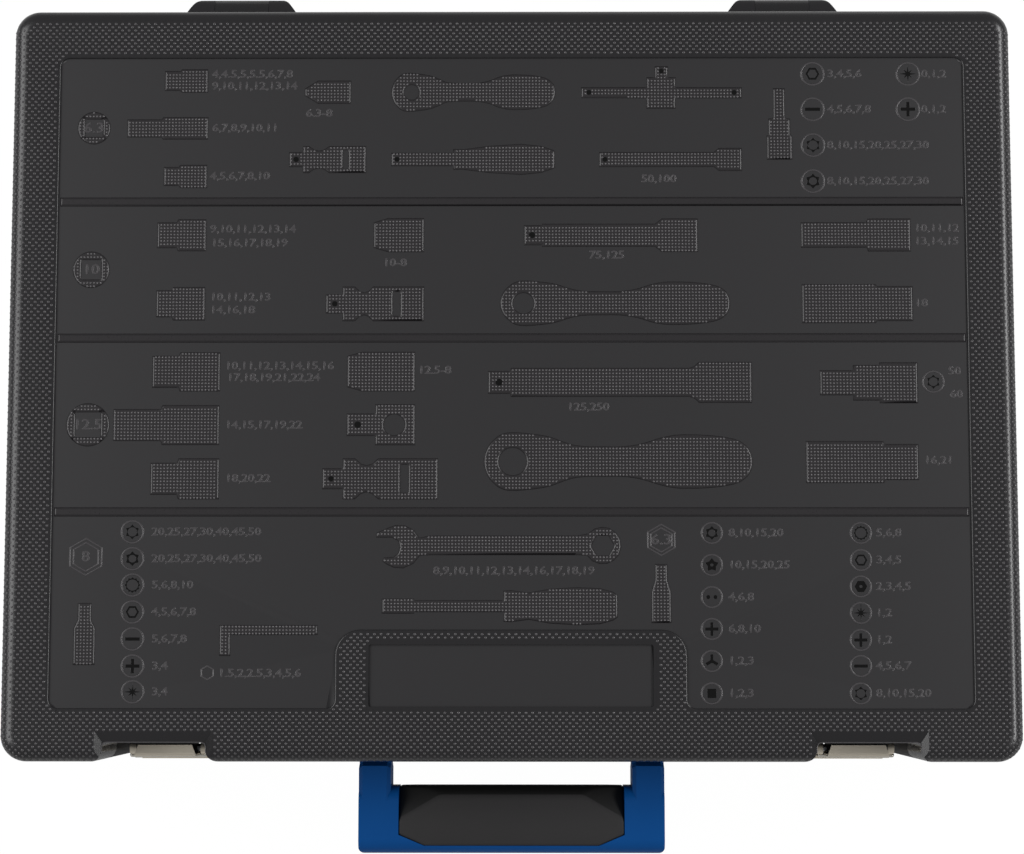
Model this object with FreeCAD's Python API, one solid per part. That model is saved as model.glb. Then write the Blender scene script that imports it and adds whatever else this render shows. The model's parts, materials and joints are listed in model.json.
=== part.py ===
import FreeCAD
import Part
import math
import os
from dataclasses import dataclass

# Socket wrench set in a moulded carrying case, in millimetres.
# +Z is up, the handle is at the front (-Y) and the hinges are at the back (+Y).
# The origin is the centre of the base's underside.

V = FreeCAD.Vector
OVER = 5.0
LEVEL = 0.01

# Case shells
case_width = 395.0
case_depth = 296.2
base_height = 58.0
lid_height = 36.0
wall = 2.4
corner_radius = 10.0
edge_radius = 6.0
bevel_share = 0.6
parting_gap = 0.3

# Rim tongue of the base, which the lid's wall closes round
tongue_height = 1.6
tongue_thickness = 1.5
tongue_gap = 0.3
tongue_root = 6.0

# Sunk panel of the lid, its divider bars and its bare name plate
border_side = 18.75
border_back = 19.6
border_front = 20.0
panel_depth = 0.8
panel_radius = 4.0
divider_width = 3.0
divider_bevel = 0.4
divider_height = 0.5
divider_end_gap = 1.6
section_depths = (58.1, 54.1, 68.1)
plate_width = 134.9
plate_height = 30.2
plate_radius = 9.3
plate_flare = 3.9
plate_rim_top = 4.1
plate_rim_side = 11.4
plate_field_radius = 2.0

# Hinges
hinge_spacing = 221.5
hinge_width = 47.6
hinge_back_width = 35.6
hinge_wall_gap = 1.8
hinge_shoulder = 5.0
hinge_corner = 6.0
knuckle_radius = 5.8
knuckle_length = 22.0
knuckle_gap = 0.12
hinge_pin_radius = 2.0
running_fit = 0.05

# Draw latches, in notches through the front of both halves
latch_spacing = 275.4
notch_width = 40.2
notch_depth = 7.6
notch_flare = 4.5
notch_radius = 2.0
lever_width = 31.0
sheet = 1.0
lever_proud = 0.4
lever_top = 40.5
lever_curl_z = 24.0
lever_curl_radius = 2.0
latch_pivot_inset = 4.2
latch_pivot_z = 52.0
latch_pin_radius = 1.5
lug_radius = 2.1
lug_width = 3.5
lug_centre = 9.8
lever_ear_radius = 2.6
lever_ear_width = 2.6
hook_width = 24.2
hook_tip_width = 21.5
hook_sheet = 0.8
hook_bend = 1.2
hook_gap = 0.5
hook_top = 63.2
hook_reach = 4.4
hook_pivot_drop = 8.0
hook_pivot_shift = 1.0
hook_eye_radius = 2.0
hook_pin_radius = 1.2
catch_width = 26.0
catch_low = 1.2
catch_height = 2.6
catch_gap = 0.4

# Carrying handle, which folds down into a recess of the base
handle_width = 121.6
handle_arm_width = 12.7
handle_arm_height = 14.0
handle_reach = 37.4
bar_depth = 26.5
bar_height = 22.0
bar_radius = 6.0
bar_end_radius = 2.5
handle_pivot_inset = 10.5
handle_pivot_drop = 8.0
handle_pin_radius = 2.5
handle_pin_grip = 9.0
handle_side_gap = 0.5
handle_fold_gap = 1.0
handle_boss_radius = 6.0
handle_boss_length = 8.0
recess_radius = 1.0
grip_rim = 3.2
grip_length = 89.8
grip_skin = 3.0
grip_core_inset = 14.4
grip_corner_run = 10.2
grip_corner_rise = 4.3
grip_bevel_run = 24.2
grip_bevel_rise = 13.9
grip_bevel_drop = 7.0
grip_radius = 6.0
arm_bevel = 1.5
arm_swell_gap = 1.2
arm_swell_run = 1.6

# Pocketed inner trays
tray_wall = 1.6
tray_gap = 0.3
row_margin = 4.0
pocket_gap = 0.3
base_deck = 36.0
lid_deck = 66.0
tool_sink = 1.5

# Bits and keys in the lid
bit_hex = 6.35
bit_length = 28.0
bit_tip = 9.0
bit_tip_share = 0.3
bit_blade_share = 0.35
bit_kinds = 4
bit_pitch = 10.5
bits_per_rack = 10
rack_depth = 10.0
rack_height = 10.0
rack_end = 4.0
rack_fit = 0.1
key_sizes = (8.0, 6.0, 5.0, 4.0, 3.0, 2.5)
key_long_base = 40.0
key_long_rise = 5.0
key_short_base = 16.0
key_short_rise = 2.5
key_gap = 3.5
key_bend = 1.6

# Combination wrenches in the lid
wrench_sizes = (19.0, 17.0, 14.0, 13.0, 12.0, 11.0, 10.0, 8.0)
wrench_length_base = 62.0
wrench_length_rise = 7.6
wrench_jaw_turn = 15.0
wrench_jaw_wall = 4.0
wrench_ring_wall = 2.2
wrench_shank_share = 0.75
wrench_throat_share = 0.25
wrench_head_base = 3.0
wrench_head_rise = 0.3
wrench_shank_thin = 1.2
wrench_pocket = 4.5
wrench_fit = 0.2


@dataclass
class SocketSet:
    """Sockets of one square drive, by width across flats."""
    drive: float
    body: float
    length: float
    hex_depth: float
    sizes: tuple
    nut_base: float = 3.5
    nut_rise: float = 1.25
    shoulder: float = 4.0

    def radius(self, size):
        return (self.nut_base + self.nut_rise * size) / 2

    def widest(self, size):
        return max(self.radius(size), self.body / 2)


@dataclass
class Ratchet:
    """A reversible ratchet: head at the origin, handle along +X."""
    drive: float
    length: float
    head_radius: float
    head_height: float
    neck_root: float
    neck_width: float
    neck_height: float
    shank_radius: float
    grip_length: float
    grip_radius: float
    cover: float = 3.0
    gear_wall: float = 6.0
    button_radius: float = 3.5
    button_proud: float = 2.5
    button_travel: float = 1.5
    lever_post: float = 1.8
    lever_length: float = 12.0
    lever_height: float = 2.2
    lever_boss_share: float = 1.6
    lever_place_share: float = 0.75
    shank_share: float = 0.7

    def end(self):
        return self.length - self.head_radius

    def grip_start(self):
        return self.end() - self.grip_length

    def shank_end(self):
        return self.grip_start() + self.grip_length * self.shank_share

    def lever_place(self):
        return self.head_radius - self.gear_wall * self.lever_place_share

    def top(self):
        return self.head_height / 2


half_sockets = SocketSet(12.7, 22.0, 38.0, 16.0, (10, 12, 13, 14, 17, 19, 22, 24, 27, 30))
middle_sockets = SocketSet(9.5, 17.5, 28.0, 12.0, (10, 11, 12, 13, 14, 15, 17))
quarter_sockets = SocketSet(6.35, 12.0, 25.0, 10.0, (5, 6, 7, 8, 9, 10, 11, 12))
plug_socket = SocketSet(12.7, 22.0, 65.0, 30.0, (16,))

half_ratchet = Ratchet(12.7, 250.0, 20.0, 17.0, 25.0, 15.0, 11.0, 6.5, 118.0, 15.0)
middle_ratchet = Ratchet(9.5, 200.0, 16.0, 14.0, 20.0, 12.0, 9.0, 5.0, 96.0, 13.0, button_radius=3.0)
quarter_ratchet = Ratchet(
    6.35, 140.0, 12.5, 11.0, 16.0, 9.5, 7.0, 4.0, 70.0, 11.0,
    gear_wall=4.5, button_radius=2.3, lever_post=1.5, lever_length=9.0)

# Moulded grips of the hand tools, as shares of their radius
grip_neck_share = 0.72
grip_dome_share = 0.86
grip_dome_rise = 0.4
grip_dome = ((0.8, 0.65), (0.45, 1.0))
grip_steps = 6
grip_sides = 8

# Other tools in the base
extension_length = 250.0
extension_head = 26.0
extension_shaft_radius = 7.5
extension_taper = 4.0
square_share = 1.2
joint_length_share = 5.2
joint_radius_share = 0.88
joint_slot_share = 0.72
joint_throat_share = 1.2
joint_pin_share = 0.22
joint_cross_gap = 0.3
slide_length = 112.0
slide_rod_radius = 4.0
slider_radius = 7.5
slider_front = 9.0
slider_back = 7.0
slider_travel = 30.0
spinner_length = 145.0
spinner_grip = 85.0
spinner_shaft_radius = 4.2
spinner_grip_radius = 14.0
spinner_tail = 40.0

# Levels and places worked out from the sizes above
case_height = base_height + lid_height
front = -case_depth / 2
back = case_depth / 2
base_top = base_height - parting_gap / 2
lid_low = base_height + parting_gap / 2
hinge_y = back + hinge_wall_gap + knuckle_radius
latch_y = front + latch_pivot_inset
handle_y = front + handle_pivot_inset
handle_pivot_z = base_height - handle_pivot_drop
recess_half = handle_width / 2 + handle_side_gap
recess_depth = handle_pivot_inset + bar_height / 2 + handle_fold_gap
liner_inset = wall + tray_gap
sides = (-1, 1)


def box(x0, x1, y0, y1, z0, z1):
    """A block between two corners."""
    return Part.makeBox(x1 - x0, y1 - y0, z1 - z0, V(x0, y0, z0))


def rod(radius, start, end):
    """A round rod from one point to another."""
    along = end - start
    return Part.makeCylinder(radius, along.Length, start, along)


def lines(*points):
    """Straight edges through points."""
    return [Part.makeLine(a, b) for a, b in zip(points, points[1:])]


def arc(start, middle, end):
    """A round edge through three points."""
    return Part.Arc(start, middle, end).toShape()


def filled(edges):
    """A flat face inside a closed run of edges."""
    return Part.Face(Part.Wire(edges))


def corner(centre, radius, angle):
    """A quarter round of an outline, from the given angle in degrees."""
    ends = [math.radians(angle + turn) for turn in (0, 45, 90)]
    return arc(*[centre + V(math.cos(a), math.sin(a), 0) * radius for a in ends])


def rounded_wire(x0, x1, y0, y1, z, radius):
    """A rectangle with round corners, level at z."""
    inner = [(x1 - radius, y1 - radius), (x0 + radius, y1 - radius),
             (x0 + radius, y0 + radius), (x1 - radius, y0 + radius)]
    rounds = [corner(V(x, y, z), radius, 90 * n) for n, (x, y) in enumerate(inner)]
    edges = []
    for n, piece in enumerate(rounds):
        edges.append(piece)
        edges += lines(piece.Vertexes[-1].Point, rounds[(n + 1) % 4].Vertexes[0].Point)
    return Part.Wire(edges)


def rounded_prism(x0, x1, y0, y1, z0, z1, radius):
    """An upright block with round corners."""
    return Part.Face(rounded_wire(x0, x1, y0, y1, z0, radius)).extrude(V(0, 0, z1 - z0))


def turned(profile):
    """A solid turned about X from (x, radius) points, closed on the axis."""
    points = [V(profile[0][0], 0, 0)] + [V(x, r, 0) for x, r in profile] + [V(profile[-1][0], 0, 0)]
    return filled(lines(*points, points[0])).revolve(V(), V(1, 0, 0), 360)


def polygon(sides_count, radius, x):
    """An even-sided wire square to X, with a corner up."""
    angles = [math.tau * n / sides_count for n in range(sides_count)]
    points = [V(x, radius * math.sin(a), radius * math.cos(a)) for a in angles]
    return Part.Wire(lines(*points, points[0]))


def hexagon(across, x):
    """A hexagonal wire square to X, by its width across flats."""
    return polygon(6, across / math.sqrt(3), x)


def hex_bar(across, x0, x1):
    """A hexagonal bar along X."""
    return Part.Face(hexagon(across, x0)).extrude(V(x1 - x0, 0, 0))


def square_bar(side, x0, x1):
    """A square bar along X."""
    return box(x0, x1, -side / 2, side / 2, -side / 2, side / 2)


def spread(widths, low, high):
    """Centres of widths set in a row with even gaps between low and high."""
    gap = (high - low - sum(widths)) / (len(widths) + 1)
    centres = []
    place = low
    for width in widths:
        place += gap + width / 2
        centres.append(place)
        place += width / 2
    return centres


def moved(shape, x, y, z):
    """A copy of a shape, shifted."""
    return shape.translated(V(x, y, z))


def turned_to_y(shape):
    """A copy of a shape laid along Y instead of X."""
    return shape.rotated(V(), V(0, 0, 1), 90)


def save(name, *solids):
    """Writes one sub-part."""
    shape = solids[0] if len(solids) == 1 else Part.makeCompound(list(solids))
    shape.exportStep(os.path.join("parts", name + ".step"))


# Case

def outline(inset, z0, z1):
    """The case's outline pulled in by inset, as an upright block."""
    half_x = case_width / 2 - inset
    half_y = case_depth / 2 - inset
    return rounded_prism(-half_x, half_x, -half_y, half_y, z0, z1, corner_radius - inset)


def edges_at(block, z):
    """The edges of a block that lie level at z."""
    return [e for e in block.Edges if abs(e.BoundBox.ZMin - z) + abs(e.BoundBox.ZMax - z) < LEVEL]


def case_block(z0, z1, round_z):
    """The case's outer form, with its edges at round_z rounded."""
    block = outline(0, z0, z1)
    return block.makeFillet(edge_radius, edges_at(block, round_z))


def case_hollow(z0, z1, bevel_z):
    """The room inside a wall of the case, with its edges at bevel_z bevelled."""
    block = outline(wall, z0, z1)
    return block.makeChamfer((edge_radius - wall) * bevel_share, edges_at(block, bevel_z))


def handle_recess(grow, z0, z1):
    """The space that the folded handle needs, with its walls pushed out by grow."""
    half = recess_half + grow
    return rounded_prism(-half, half, front - OVER - recess_radius, front + recess_depth + grow,
                         z0, z1, recess_radius)


def bay_wire(x, half, low, high, flare, radius, z):
    """A bay that stands on the line y = low: flared at its foot and rounded at its far corners."""
    reach = flare * (1 - math.sqrt(0.5))
    foot = [V(x - half - flare, low, z), V(x - half - flare, low - OVER, z),
            V(x + half + flare, low - OVER, z), V(x + half + flare, low, z)]
    left = V(x - half, low + flare, z)
    right = V(x + half, low + flare, z)
    edges = lines(*foot)
    edges.append(arc(foot[3], V(x + half + reach, low + reach, z), right))
    edges += lines(right, V(x + half, high - radius, z))
    edges.append(corner(V(x + half - radius, high - radius, z), radius, 0))
    edges += lines(V(x + half - radius, high, z), V(x - half + radius, high, z))
    edges.append(corner(V(x - half + radius, high - radius, z), radius, 90))
    edges += lines(V(x - half, high - radius, z), left)
    edges.append(arc(left, V(x - half - reach, low + reach, z), foot[0]))
    return Part.Wire(edges)


def notches(grow):
    """Both latch notches, through both halves of the case, with their walls pushed out by grow."""
    flare = max(notch_flare - grow, running_fit)
    wires = [bay_wire(side * latch_spacing / 2, notch_width / 2 + grow, front, front + notch_depth + grow,
                      flare, notch_radius + grow, -OVER) for side in sides]
    return [Part.Face(wire).extrude(V(0, 0, case_height + 2 * OVER)) for wire in wires]


def rim_tongue():
    """The raised ring inside the base's rim, let into the wall at its root."""
    inner = wall + tongue_gap + tongue_thickness
    root = base_height - tongue_root
    high = base_height + tongue_height
    ring = outline(wall / 2, root, base_top).fuse(outline(wall + tongue_gap, root, high))
    ring = ring.cut(outline(inner, root - OVER, high + OVER))
    return ring.cut([handle_recess(wall / 2, 0, case_height)] + notches(wall))


def hinge_plan(x):
    """The tapered plan of one hinge, as an upright block."""
    deep = hinge_y + knuckle_radius
    points = [V(x - hinge_width / 2, back - wall, 0), V(x + hinge_width / 2, back - wall, 0),
              V(x + hinge_width / 2, back + hinge_shoulder, 0), V(x + hinge_back_width / 2, deep, 0),
              V(x - hinge_back_width / 2, deep, 0), V(x - hinge_width / 2, back + hinge_shoulder, 0)]
    plan = filled(lines(*points, points[0])).extrude(V(0, 0, case_height))
    shoulders = [e for e in plan.Edges if e.BoundBox.ZLength > OVER and e.BoundBox.YMin > deep - LEVEL]
    return plan.makeFillet(hinge_corner, shoulders)


def knuckle(x0, x1, z0, z1):
    """A hinge knuckle on the axis, with the web that joins it to the wall between z0 and z1."""
    barrel = rod(knuckle_radius, V(x0, hinge_y, base_height), V(x1, hinge_y, base_height))
    return barrel.fuse(box(x0, x1, back - wall / 2, hinge_y, z0, z1))


def base_knuckles():
    """The outer two knuckles of each hinge."""
    pieces = []
    for side in sides:
        x = side * hinge_spacing / 2
        for end in sides:
            inner = x + end * (knuckle_length / 2 + knuckle_gap)
            outer = x + end * hinge_width / 2
            piece = knuckle(min(inner, outer), max(inner, outer), base_height - knuckle_radius, base_top)
            pieces.append(piece.common(hinge_plan(x)))
    return pieces


def lid_knuckles():
    """The middle knuckle of each hinge."""
    half = knuckle_length / 2
    return [knuckle(side * hinge_spacing / 2 - half, side * hinge_spacing / 2 + half,
                    lid_low, base_height + knuckle_radius) for side in sides]


def hinge_pins(radius):
    """Pins, or their bores, along the hinge axis."""
    half = hinge_back_width / 2
    return [rod(radius, V(side * hinge_spacing / 2 - half, hinge_y, base_height),
                V(side * hinge_spacing / 2 + half, hinge_y, base_height)) for side in sides]


def latch_lugs():
    """Lugs in the base's notches, which carry the lever pins."""
    pieces = []
    inner = front + notch_depth + wall / 2
    for side in sides:
        for end in sides:
            x = side * latch_spacing / 2 + end * lug_centre - lug_width / 2
            low = V(x, latch_y, latch_pivot_z - lug_radius)
            high = V(x, latch_y, latch_pivot_z + lug_radius)
            edges = lines(high, V(x, inner, high.z), V(x, inner, low.z), low)
            edges.append(arc(low, V(x, latch_y - lug_radius, latch_pivot_z), high))
            pieces.append(filled(edges).extrude(V(lug_width, 0, 0)))
    return pieces


def latch_pins(radius, drop=0.0, shift=0.0):
    """Lever pins, or hook pins where drop and shift are given, or their bores."""
    y = latch_y - shift
    z = latch_pivot_z - drop
    half = lever_width / 2
    return [rod(radius, V(side * latch_spacing / 2 - half, y, z), V(side * latch_spacing / 2 + half, y, z))
            for side in sides]


def handle_pins():
    """The two pins between the handle's arms and the recess's side walls."""
    inner = handle_width / 2 - handle_pin_grip
    outer = recess_half + handle_boss_length
    return [rod(handle_pin_radius, V(side * inner, handle_y, handle_pivot_z),
                V(side * outer, handle_y, handle_pivot_z)) for side in sides]


def base_shell():
    """The lower half of the case."""
    body = case_block(0, base_top, 0).cut([handle_recess(0, -OVER, case_height)] + notches(0))
    cavity = case_hollow(wall, base_top + OVER, wall)
    cavity = cavity.cut([handle_recess(wall, -OVER, case_height)] + notches(wall))
    bosses = [rod(handle_boss_radius, V(side * (recess_half + wall / 2), handle_y, handle_pivot_z),
                  V(side * (recess_half + handle_boss_length), handle_y, handle_pivot_z)) for side in sides]
    shell = body.cut(cavity).fuse([rim_tongue()] + base_knuckles() + latch_lugs() + bosses)
    return shell.cut(hinge_pins(hinge_pin_radius) + latch_pins(latch_pin_radius) + handle_pins())


def plate_outline(z0, z1):
    """The name plate's raised rim, flared where it meets the front border."""
    low = front + border_front
    wire = bay_wire(0, plate_width / 2, low, low + plate_height, plate_flare, plate_radius, z0)
    return Part.Face(wire).extrude(V(0, 0, z1 - z0))


def lid_panel():
    """What is cut from the lid's top: the sunk panel and the name plate's field."""
    half = case_width / 2 - border_side
    low = front + border_front
    z0 = case_height - panel_depth
    z1 = case_height + OVER
    panel = rounded_prism(-half, half, low, back - border_back, z0, z1, panel_radius)
    field_half = plate_width / 2 - plate_rim_side
    field = rounded_prism(-field_half, field_half, low, low + plate_height - plate_rim_top,
                          z0, z1, plate_field_radius)
    return panel.cut(plate_outline(z0 - OVER, z1 + OVER)).fuse(field)


def lid_dividers():
    """The bars across the panel, one below each section."""
    half = case_width / 2 - border_side - divider_end_gap
    z0 = case_height - panel_depth - wall / 4
    z1 = case_height - panel_depth + divider_height
    bars = []
    y = back - border_back
    for depth in section_depths:
        y -= depth
        bar = box(-half, half, y - divider_width / 2, y + divider_width / 2, z0, z1)
        bars.append(bar.makeChamfer(divider_bevel, edges_at(bar, z1)))
    return bars


def lid_catches():
    """The beads in the lid's notches that the hooks snap over."""
    y0 = front - lever_proud + sheet + hook_gap + hook_reach + catch_gap
    z0 = lid_low + catch_low
    return [box(side * latch_spacing / 2 - catch_width / 2, side * latch_spacing / 2 + catch_width / 2,
                y0, front + notch_depth + wall / 2, z0, z0 + catch_height) for side in sides]


def lid_shelf():
    """The ledge of the lid that closes the handle recess from above, with its back wall."""
    half = recess_half + wall / 2
    deep = front + recess_depth + wall / 2
    ledge = box(-half, half, front + wall / 2, deep, lid_low, lid_low + wall)
    return ledge.fuse(box(-half, half, deep - wall, deep, lid_low, lid_deck - tray_gap))


def lid_shell():
    """The upper half of the case."""
    body = case_block(lid_low, case_height, case_height).cut(notches(0))
    cavity = case_hollow(lid_low - OVER, case_height - wall, case_height - wall).cut(notches(wall))
    shell = body.cut(cavity).cut(lid_panel())
    shell = shell.fuse(lid_dividers() + lid_catches() + lid_knuckles() + [lid_shelf()])
    return shell.cut(hinge_pins(hinge_pin_radius + running_fit))


# Latches

def latch_lever(side):
    """A pressed lever: front plate with a finger curl, and side flanges with pivot ears."""
    x0 = side * latch_spacing / 2 - lever_width / 2
    outer = front - lever_proud
    inner = outer + sheet
    curl = inner - lever_curl_radius
    tight = lever_curl_radius - sheet
    low = lever_curl_z
    diagonal = math.sqrt(0.5)
    edges = lines(V(x0, inner, lever_top), V(x0, inner, low))
    reach = lever_curl_radius * diagonal
    foot = V(x0, curl, low - lever_curl_radius)
    edges.append(arc(V(x0, inner, low), V(x0, curl + reach, low - reach), foot))
    edges += lines(foot, V(x0, curl, low - tight))
    edges.append(arc(V(x0, curl, low - tight), V(x0, curl + tight * diagonal, low - tight * diagonal),
                     V(x0, outer, low)))
    edges += lines(V(x0, outer, low), V(x0, outer, lever_top), V(x0, inner, lever_top))
    lever = filled(edges).extrude(V(lever_width, 0, 0))
    flanges = []
    near = latch_y - lever_ear_radius
    far = latch_y + lever_ear_radius
    for x, ear in ((x0, x0), (x0 + lever_width - sheet, x0 + lever_width - lever_ear_width)):
        points = [V(x, outer + sheet / 2, low), V(x, near, low), V(x, far, lever_top),
                  V(x, far, latch_pivot_z), V(x, near, latch_pivot_z), V(x, near, lever_top),
                  V(x, outer + sheet / 2, lever_top)]
        flanges.append(filled(lines(*points, points[0])).extrude(V(sheet, 0, 0)))
        eye = V(ear, latch_y, latch_pivot_z)
        flanges.append(rod(lever_ear_radius, eye, eye + V(lever_ear_width, 0, 0)))
    lever = lever.fuse(flanges)
    lever = lever.cut(latch_pins(latch_pin_radius + running_fit))
    return lever.cut(latch_pins(hook_pin_radius, hook_pivot_drop, hook_pivot_shift))


def latch_hook(side):
    """The hook plate: an eye on the lever's pin, an upright plate and a lip over the lid's catch."""
    centre = side * latch_spacing / 2
    x0 = centre - hook_width / 2
    y = latch_y - hook_pivot_shift
    z = latch_pivot_z - hook_pivot_drop
    outer = front - lever_proud + sheet + hook_gap
    inner = outer + hook_sheet
    tip = outer + hook_reach
    shade = hook_bend * (1 - math.sqrt(0.5))
    edges = lines(V(x0, inner, z), V(x0, outer, z), V(x0, outer, hook_top - hook_bend))
    edges.append(arc(V(x0, outer, hook_top - hook_bend), V(x0, outer + shade, hook_top - shade),
                     V(x0, outer + hook_bend, hook_top)))
    edges += lines(V(x0, outer + hook_bend, hook_top), V(x0, tip, hook_top),
                   V(x0, tip, hook_top - hook_sheet), V(x0, inner, hook_top - hook_sheet), V(x0, inner, z))
    plate = filled(edges).extrude(V(hook_width, 0, 0))
    plan = [V(x0, outer, 0), V(x0 + hook_width, outer, 0), V(x0 + hook_width, inner, 0),
            V(centre + hook_tip_width / 2, tip, 0), V(centre - hook_tip_width / 2, tip, 0), V(x0, inner, 0)]
    plate = plate.common(filled(lines(*plan, plan[0])).extrude(V(0, 0, case_height)))
    hook = plate.fuse(rod(hook_eye_radius, V(x0, y, z), V(x0 + hook_width, y, z)))
    return hook.cut(latch_pins(hook_pin_radius + running_fit, hook_pivot_drop, hook_pivot_shift))


# Handle

def grip_plan(inner, low, height):
    """The grip's plan out to y = inner, with its outer corners cut back, as an upright block."""
    half = grip_length / 2
    y0 = front - handle_reach + grip_rim
    points = [V(-half, inner, low), V(-half, y0 + grip_corner_rise, low), V(-half + grip_corner_run, y0, low),
              V(half - grip_corner_run, y0, low), V(half, y0 + grip_corner_rise, low), V(half, inner, low)]
    return filled(lines(*points, points[0])).extrude(V(0, 0, height))


def grip_block():
    """The soft grip's outer form, rounded along its inner edges."""
    inner = front - handle_reach + bar_depth
    block = grip_plan(inner, handle_pivot_z - bar_height / 2, bar_height)
    at_inner = [e for e in block.Edges if e.BoundBox.YMin > inner - LEVEL]
    rolled = [e for e in at_inner if e.BoundBox.XLength > grip_length / 2]
    return block.makeFillet(grip_radius, rolled).cut([grip_bevel(x, z) for x in sides for z in sides])


def grip_room():
    """The space between the handle's arms that the grip fills, open towards the case."""
    inner = front - handle_reach + bar_depth + OVER
    return grip_plan(inner, handle_pivot_z - bar_height, 2 * bar_height)


def grip_bevel(side, level):
    """What is cut from one inner corner of the grip, so that its flat narrows towards the ends."""
    tip = V(side * grip_length / 2, front - handle_reach + bar_depth, handle_pivot_z + level * bar_height / 2)
    points = [tip, tip + V(-side * grip_bevel_run, 0, 0), tip + V(0, -grip_bevel_rise, 0),
              tip + V(0, 0, -level * grip_bevel_drop)]
    faces = [filled(lines(*three, three[0])) for three in
             (points[:3], points[1:], points[:2] + points[3:], points[:1] + points[2:])]
    return Part.makeSolid(Part.makeShell(faces))


def grip_core():
    """The tongue of the handle frame inside the grip."""
    half = grip_length / 2
    y0 = front - handle_reach + grip_rim
    y1 = front - handle_reach + bar_depth - grip_core_inset
    core = bar_height / 2 - grip_skin
    return box(-half - OVER, half + OVER, y0 - OVER, y1, handle_pivot_z - core, handle_pivot_z + core)


def handle_grip():
    """The soft insert moulded round the handle's bar."""
    return grip_block().cut(grip_core())


def handle_frame():
    """The U of the handle: a rounded bar and two arms that turn on the handle pins."""
    half = handle_width / 2
    y0 = front - handle_reach
    y1 = y0 + bar_depth
    z0 = handle_pivot_z - bar_height / 2
    section = rounded_wire(y0, y1, z0, z0 + bar_height, 0, bar_radius)
    bar = Part.Face(section).extrude(V(0, 0, handle_width))
    bar.Placement = FreeCAD.Placement(V(-half, 0, 0), FreeCAD.Rotation(V(1, 1, 1), 120))
    bar = bar.common(rounded_prism(-half, half, y0, handle_y, 0, case_height, bar_end_radius))
    bar = bar.cut(grip_room().cut(grip_core()))
    eye = handle_arm_height / 2
    arms = []
    for x in (-half, half - handle_arm_width):
        low = V(x, handle_y, handle_pivot_z - eye)
        high = V(x, handle_y, handle_pivot_z + eye)
        y2 = front - arm_swell_gap
        y3 = y2 - arm_swell_run
        y4 = y1 - bar_radius
        z1 = z0 + bar_height
        edges = lines(high, V(x, y2, high.z), V(x, y3, z1), V(x, y4, z1),
                      V(x, y4, z0), V(x, y3, z0), V(x, y2, low.z), low)
        edges.append(arc(low, V(x, handle_y + eye, handle_pivot_z), high))
        arm = filled(edges).extrude(V(handle_arm_width, 0, 0))
        rim = [e for e in arm.Edges if e.BoundBox.XLength < LEVEL and e.BoundBox.YMax > y1]
        arms.append(arm.makeChamfer(arm_bevel, rim))
    frame = bar.fuse(arms)
    holes = [rod(handle_pin_radius + running_fit, V(side * (half - handle_pin_grip - running_fit), handle_y,
                                                    handle_pivot_z),
                 V(side * (half + OVER), handle_y, handle_pivot_z)) for side in sides]
    return frame.cut(holes)


# Tools

def socket(kind, size):
    """A socket along X, open hexagon at 0 and square drive at its far end."""
    nut = kind.radius(size)
    body = kind.body / 2
    if abs(nut - body) < kind.shoulder / 8:
        form = turned([(0, body), (kind.length, body)])
    else:
        form = turned([(0, nut), (kind.hex_depth, nut), (kind.hex_depth + kind.shoulder, body),
                       (kind.length, body)])
    reach = kind.drive * square_share
    form = form.cut(hex_bar(size, -OVER, kind.hex_depth - kind.shoulder / 2))
    return form.cut(square_bar(kind.drive, kind.length - reach, kind.length + OVER))


def extension():
    """An extension bar along X, female head at 0 and square at its far end."""
    head = half_sockets.body / 2
    tail = extension_length - half_sockets.drive * square_share
    form = turned([(0, head), (extension_head, head),
                   (extension_head + extension_taper, extension_shaft_radius),
                   (tail - extension_taper, extension_shaft_radius),
                   (tail, half_sockets.drive * joint_slot_share)])
    form = form.fuse(square_bar(half_sockets.drive, tail - extension_taper, extension_length))
    return form.cut(square_bar(half_sockets.drive, -OVER, half_sockets.drive * square_share))


def swelling_grip(x0, x1, radius, bore, bore_end):
    """A faceted grip along X that swells in the middle and ends in a dome, with a blind bore."""
    neck = radius * grip_neck_share
    dome = radius * grip_dome_share
    rise = dome * grip_dome_rise
    swell = radius - (neck + dome) / 2
    profile = []
    for n in range(grip_steps + 1):
        t = n / grip_steps
        profile.append((x0 + (x1 - rise - x0) * t, neck + (dome - neck) * t + swell * 4 * t * (1 - t)))
    profile += [(x1 - rise * (1 - up), dome * across) for across, up in grip_dome]
    form = Part.makeLoft([polygon(grip_sides, r, x) for x, r in profile], True, True)
    return form.cut(rod(bore + running_fit, V(x0 - OVER, 0, 0), V(bore_end, 0, 0)))


def ratchet_body(tool):
    """Head, neck and shank, bored for the drive gear, the button and the lever's post."""
    start = tool.grip_start()
    head = rod(tool.head_radius, V(0, 0, -tool.top()), V(0, 0, tool.top()))
    wide = tool.neck_root / 2
    narrow = tool.neck_width / 2
    points = [V(0, -wide, 0), V(start, -narrow, 0), V(start, narrow, 0), V(0, wide, 0)]
    neck = filled(lines(*points, points[0])).extrude(V(0, 0, tool.neck_height))
    neck = moved(neck, 0, 0, -tool.neck_height / 2)
    shank = rod(tool.shank_radius, V(start - OVER, 0, 0), V(tool.shank_end(), 0, 0))
    body = head.fuse([neck, shank])
    floor = tool.top() - tool.cover
    gear = rod(tool.head_radius - tool.gear_wall + running_fit, V(0, 0, -tool.top() - OVER), V(0, 0, floor))
    button = rod(tool.button_radius + running_fit, V(0, 0, 0), V(0, 0, tool.top() + OVER))
    post = V(tool.lever_place(), 0, 0)
    post_hole = rod(tool.lever_post + running_fit, post + V(0, 0, floor + tool.cover / 4),
                    post + V(0, 0, tool.top() + OVER))
    return body.cut([gear, button, post_hole])


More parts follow.
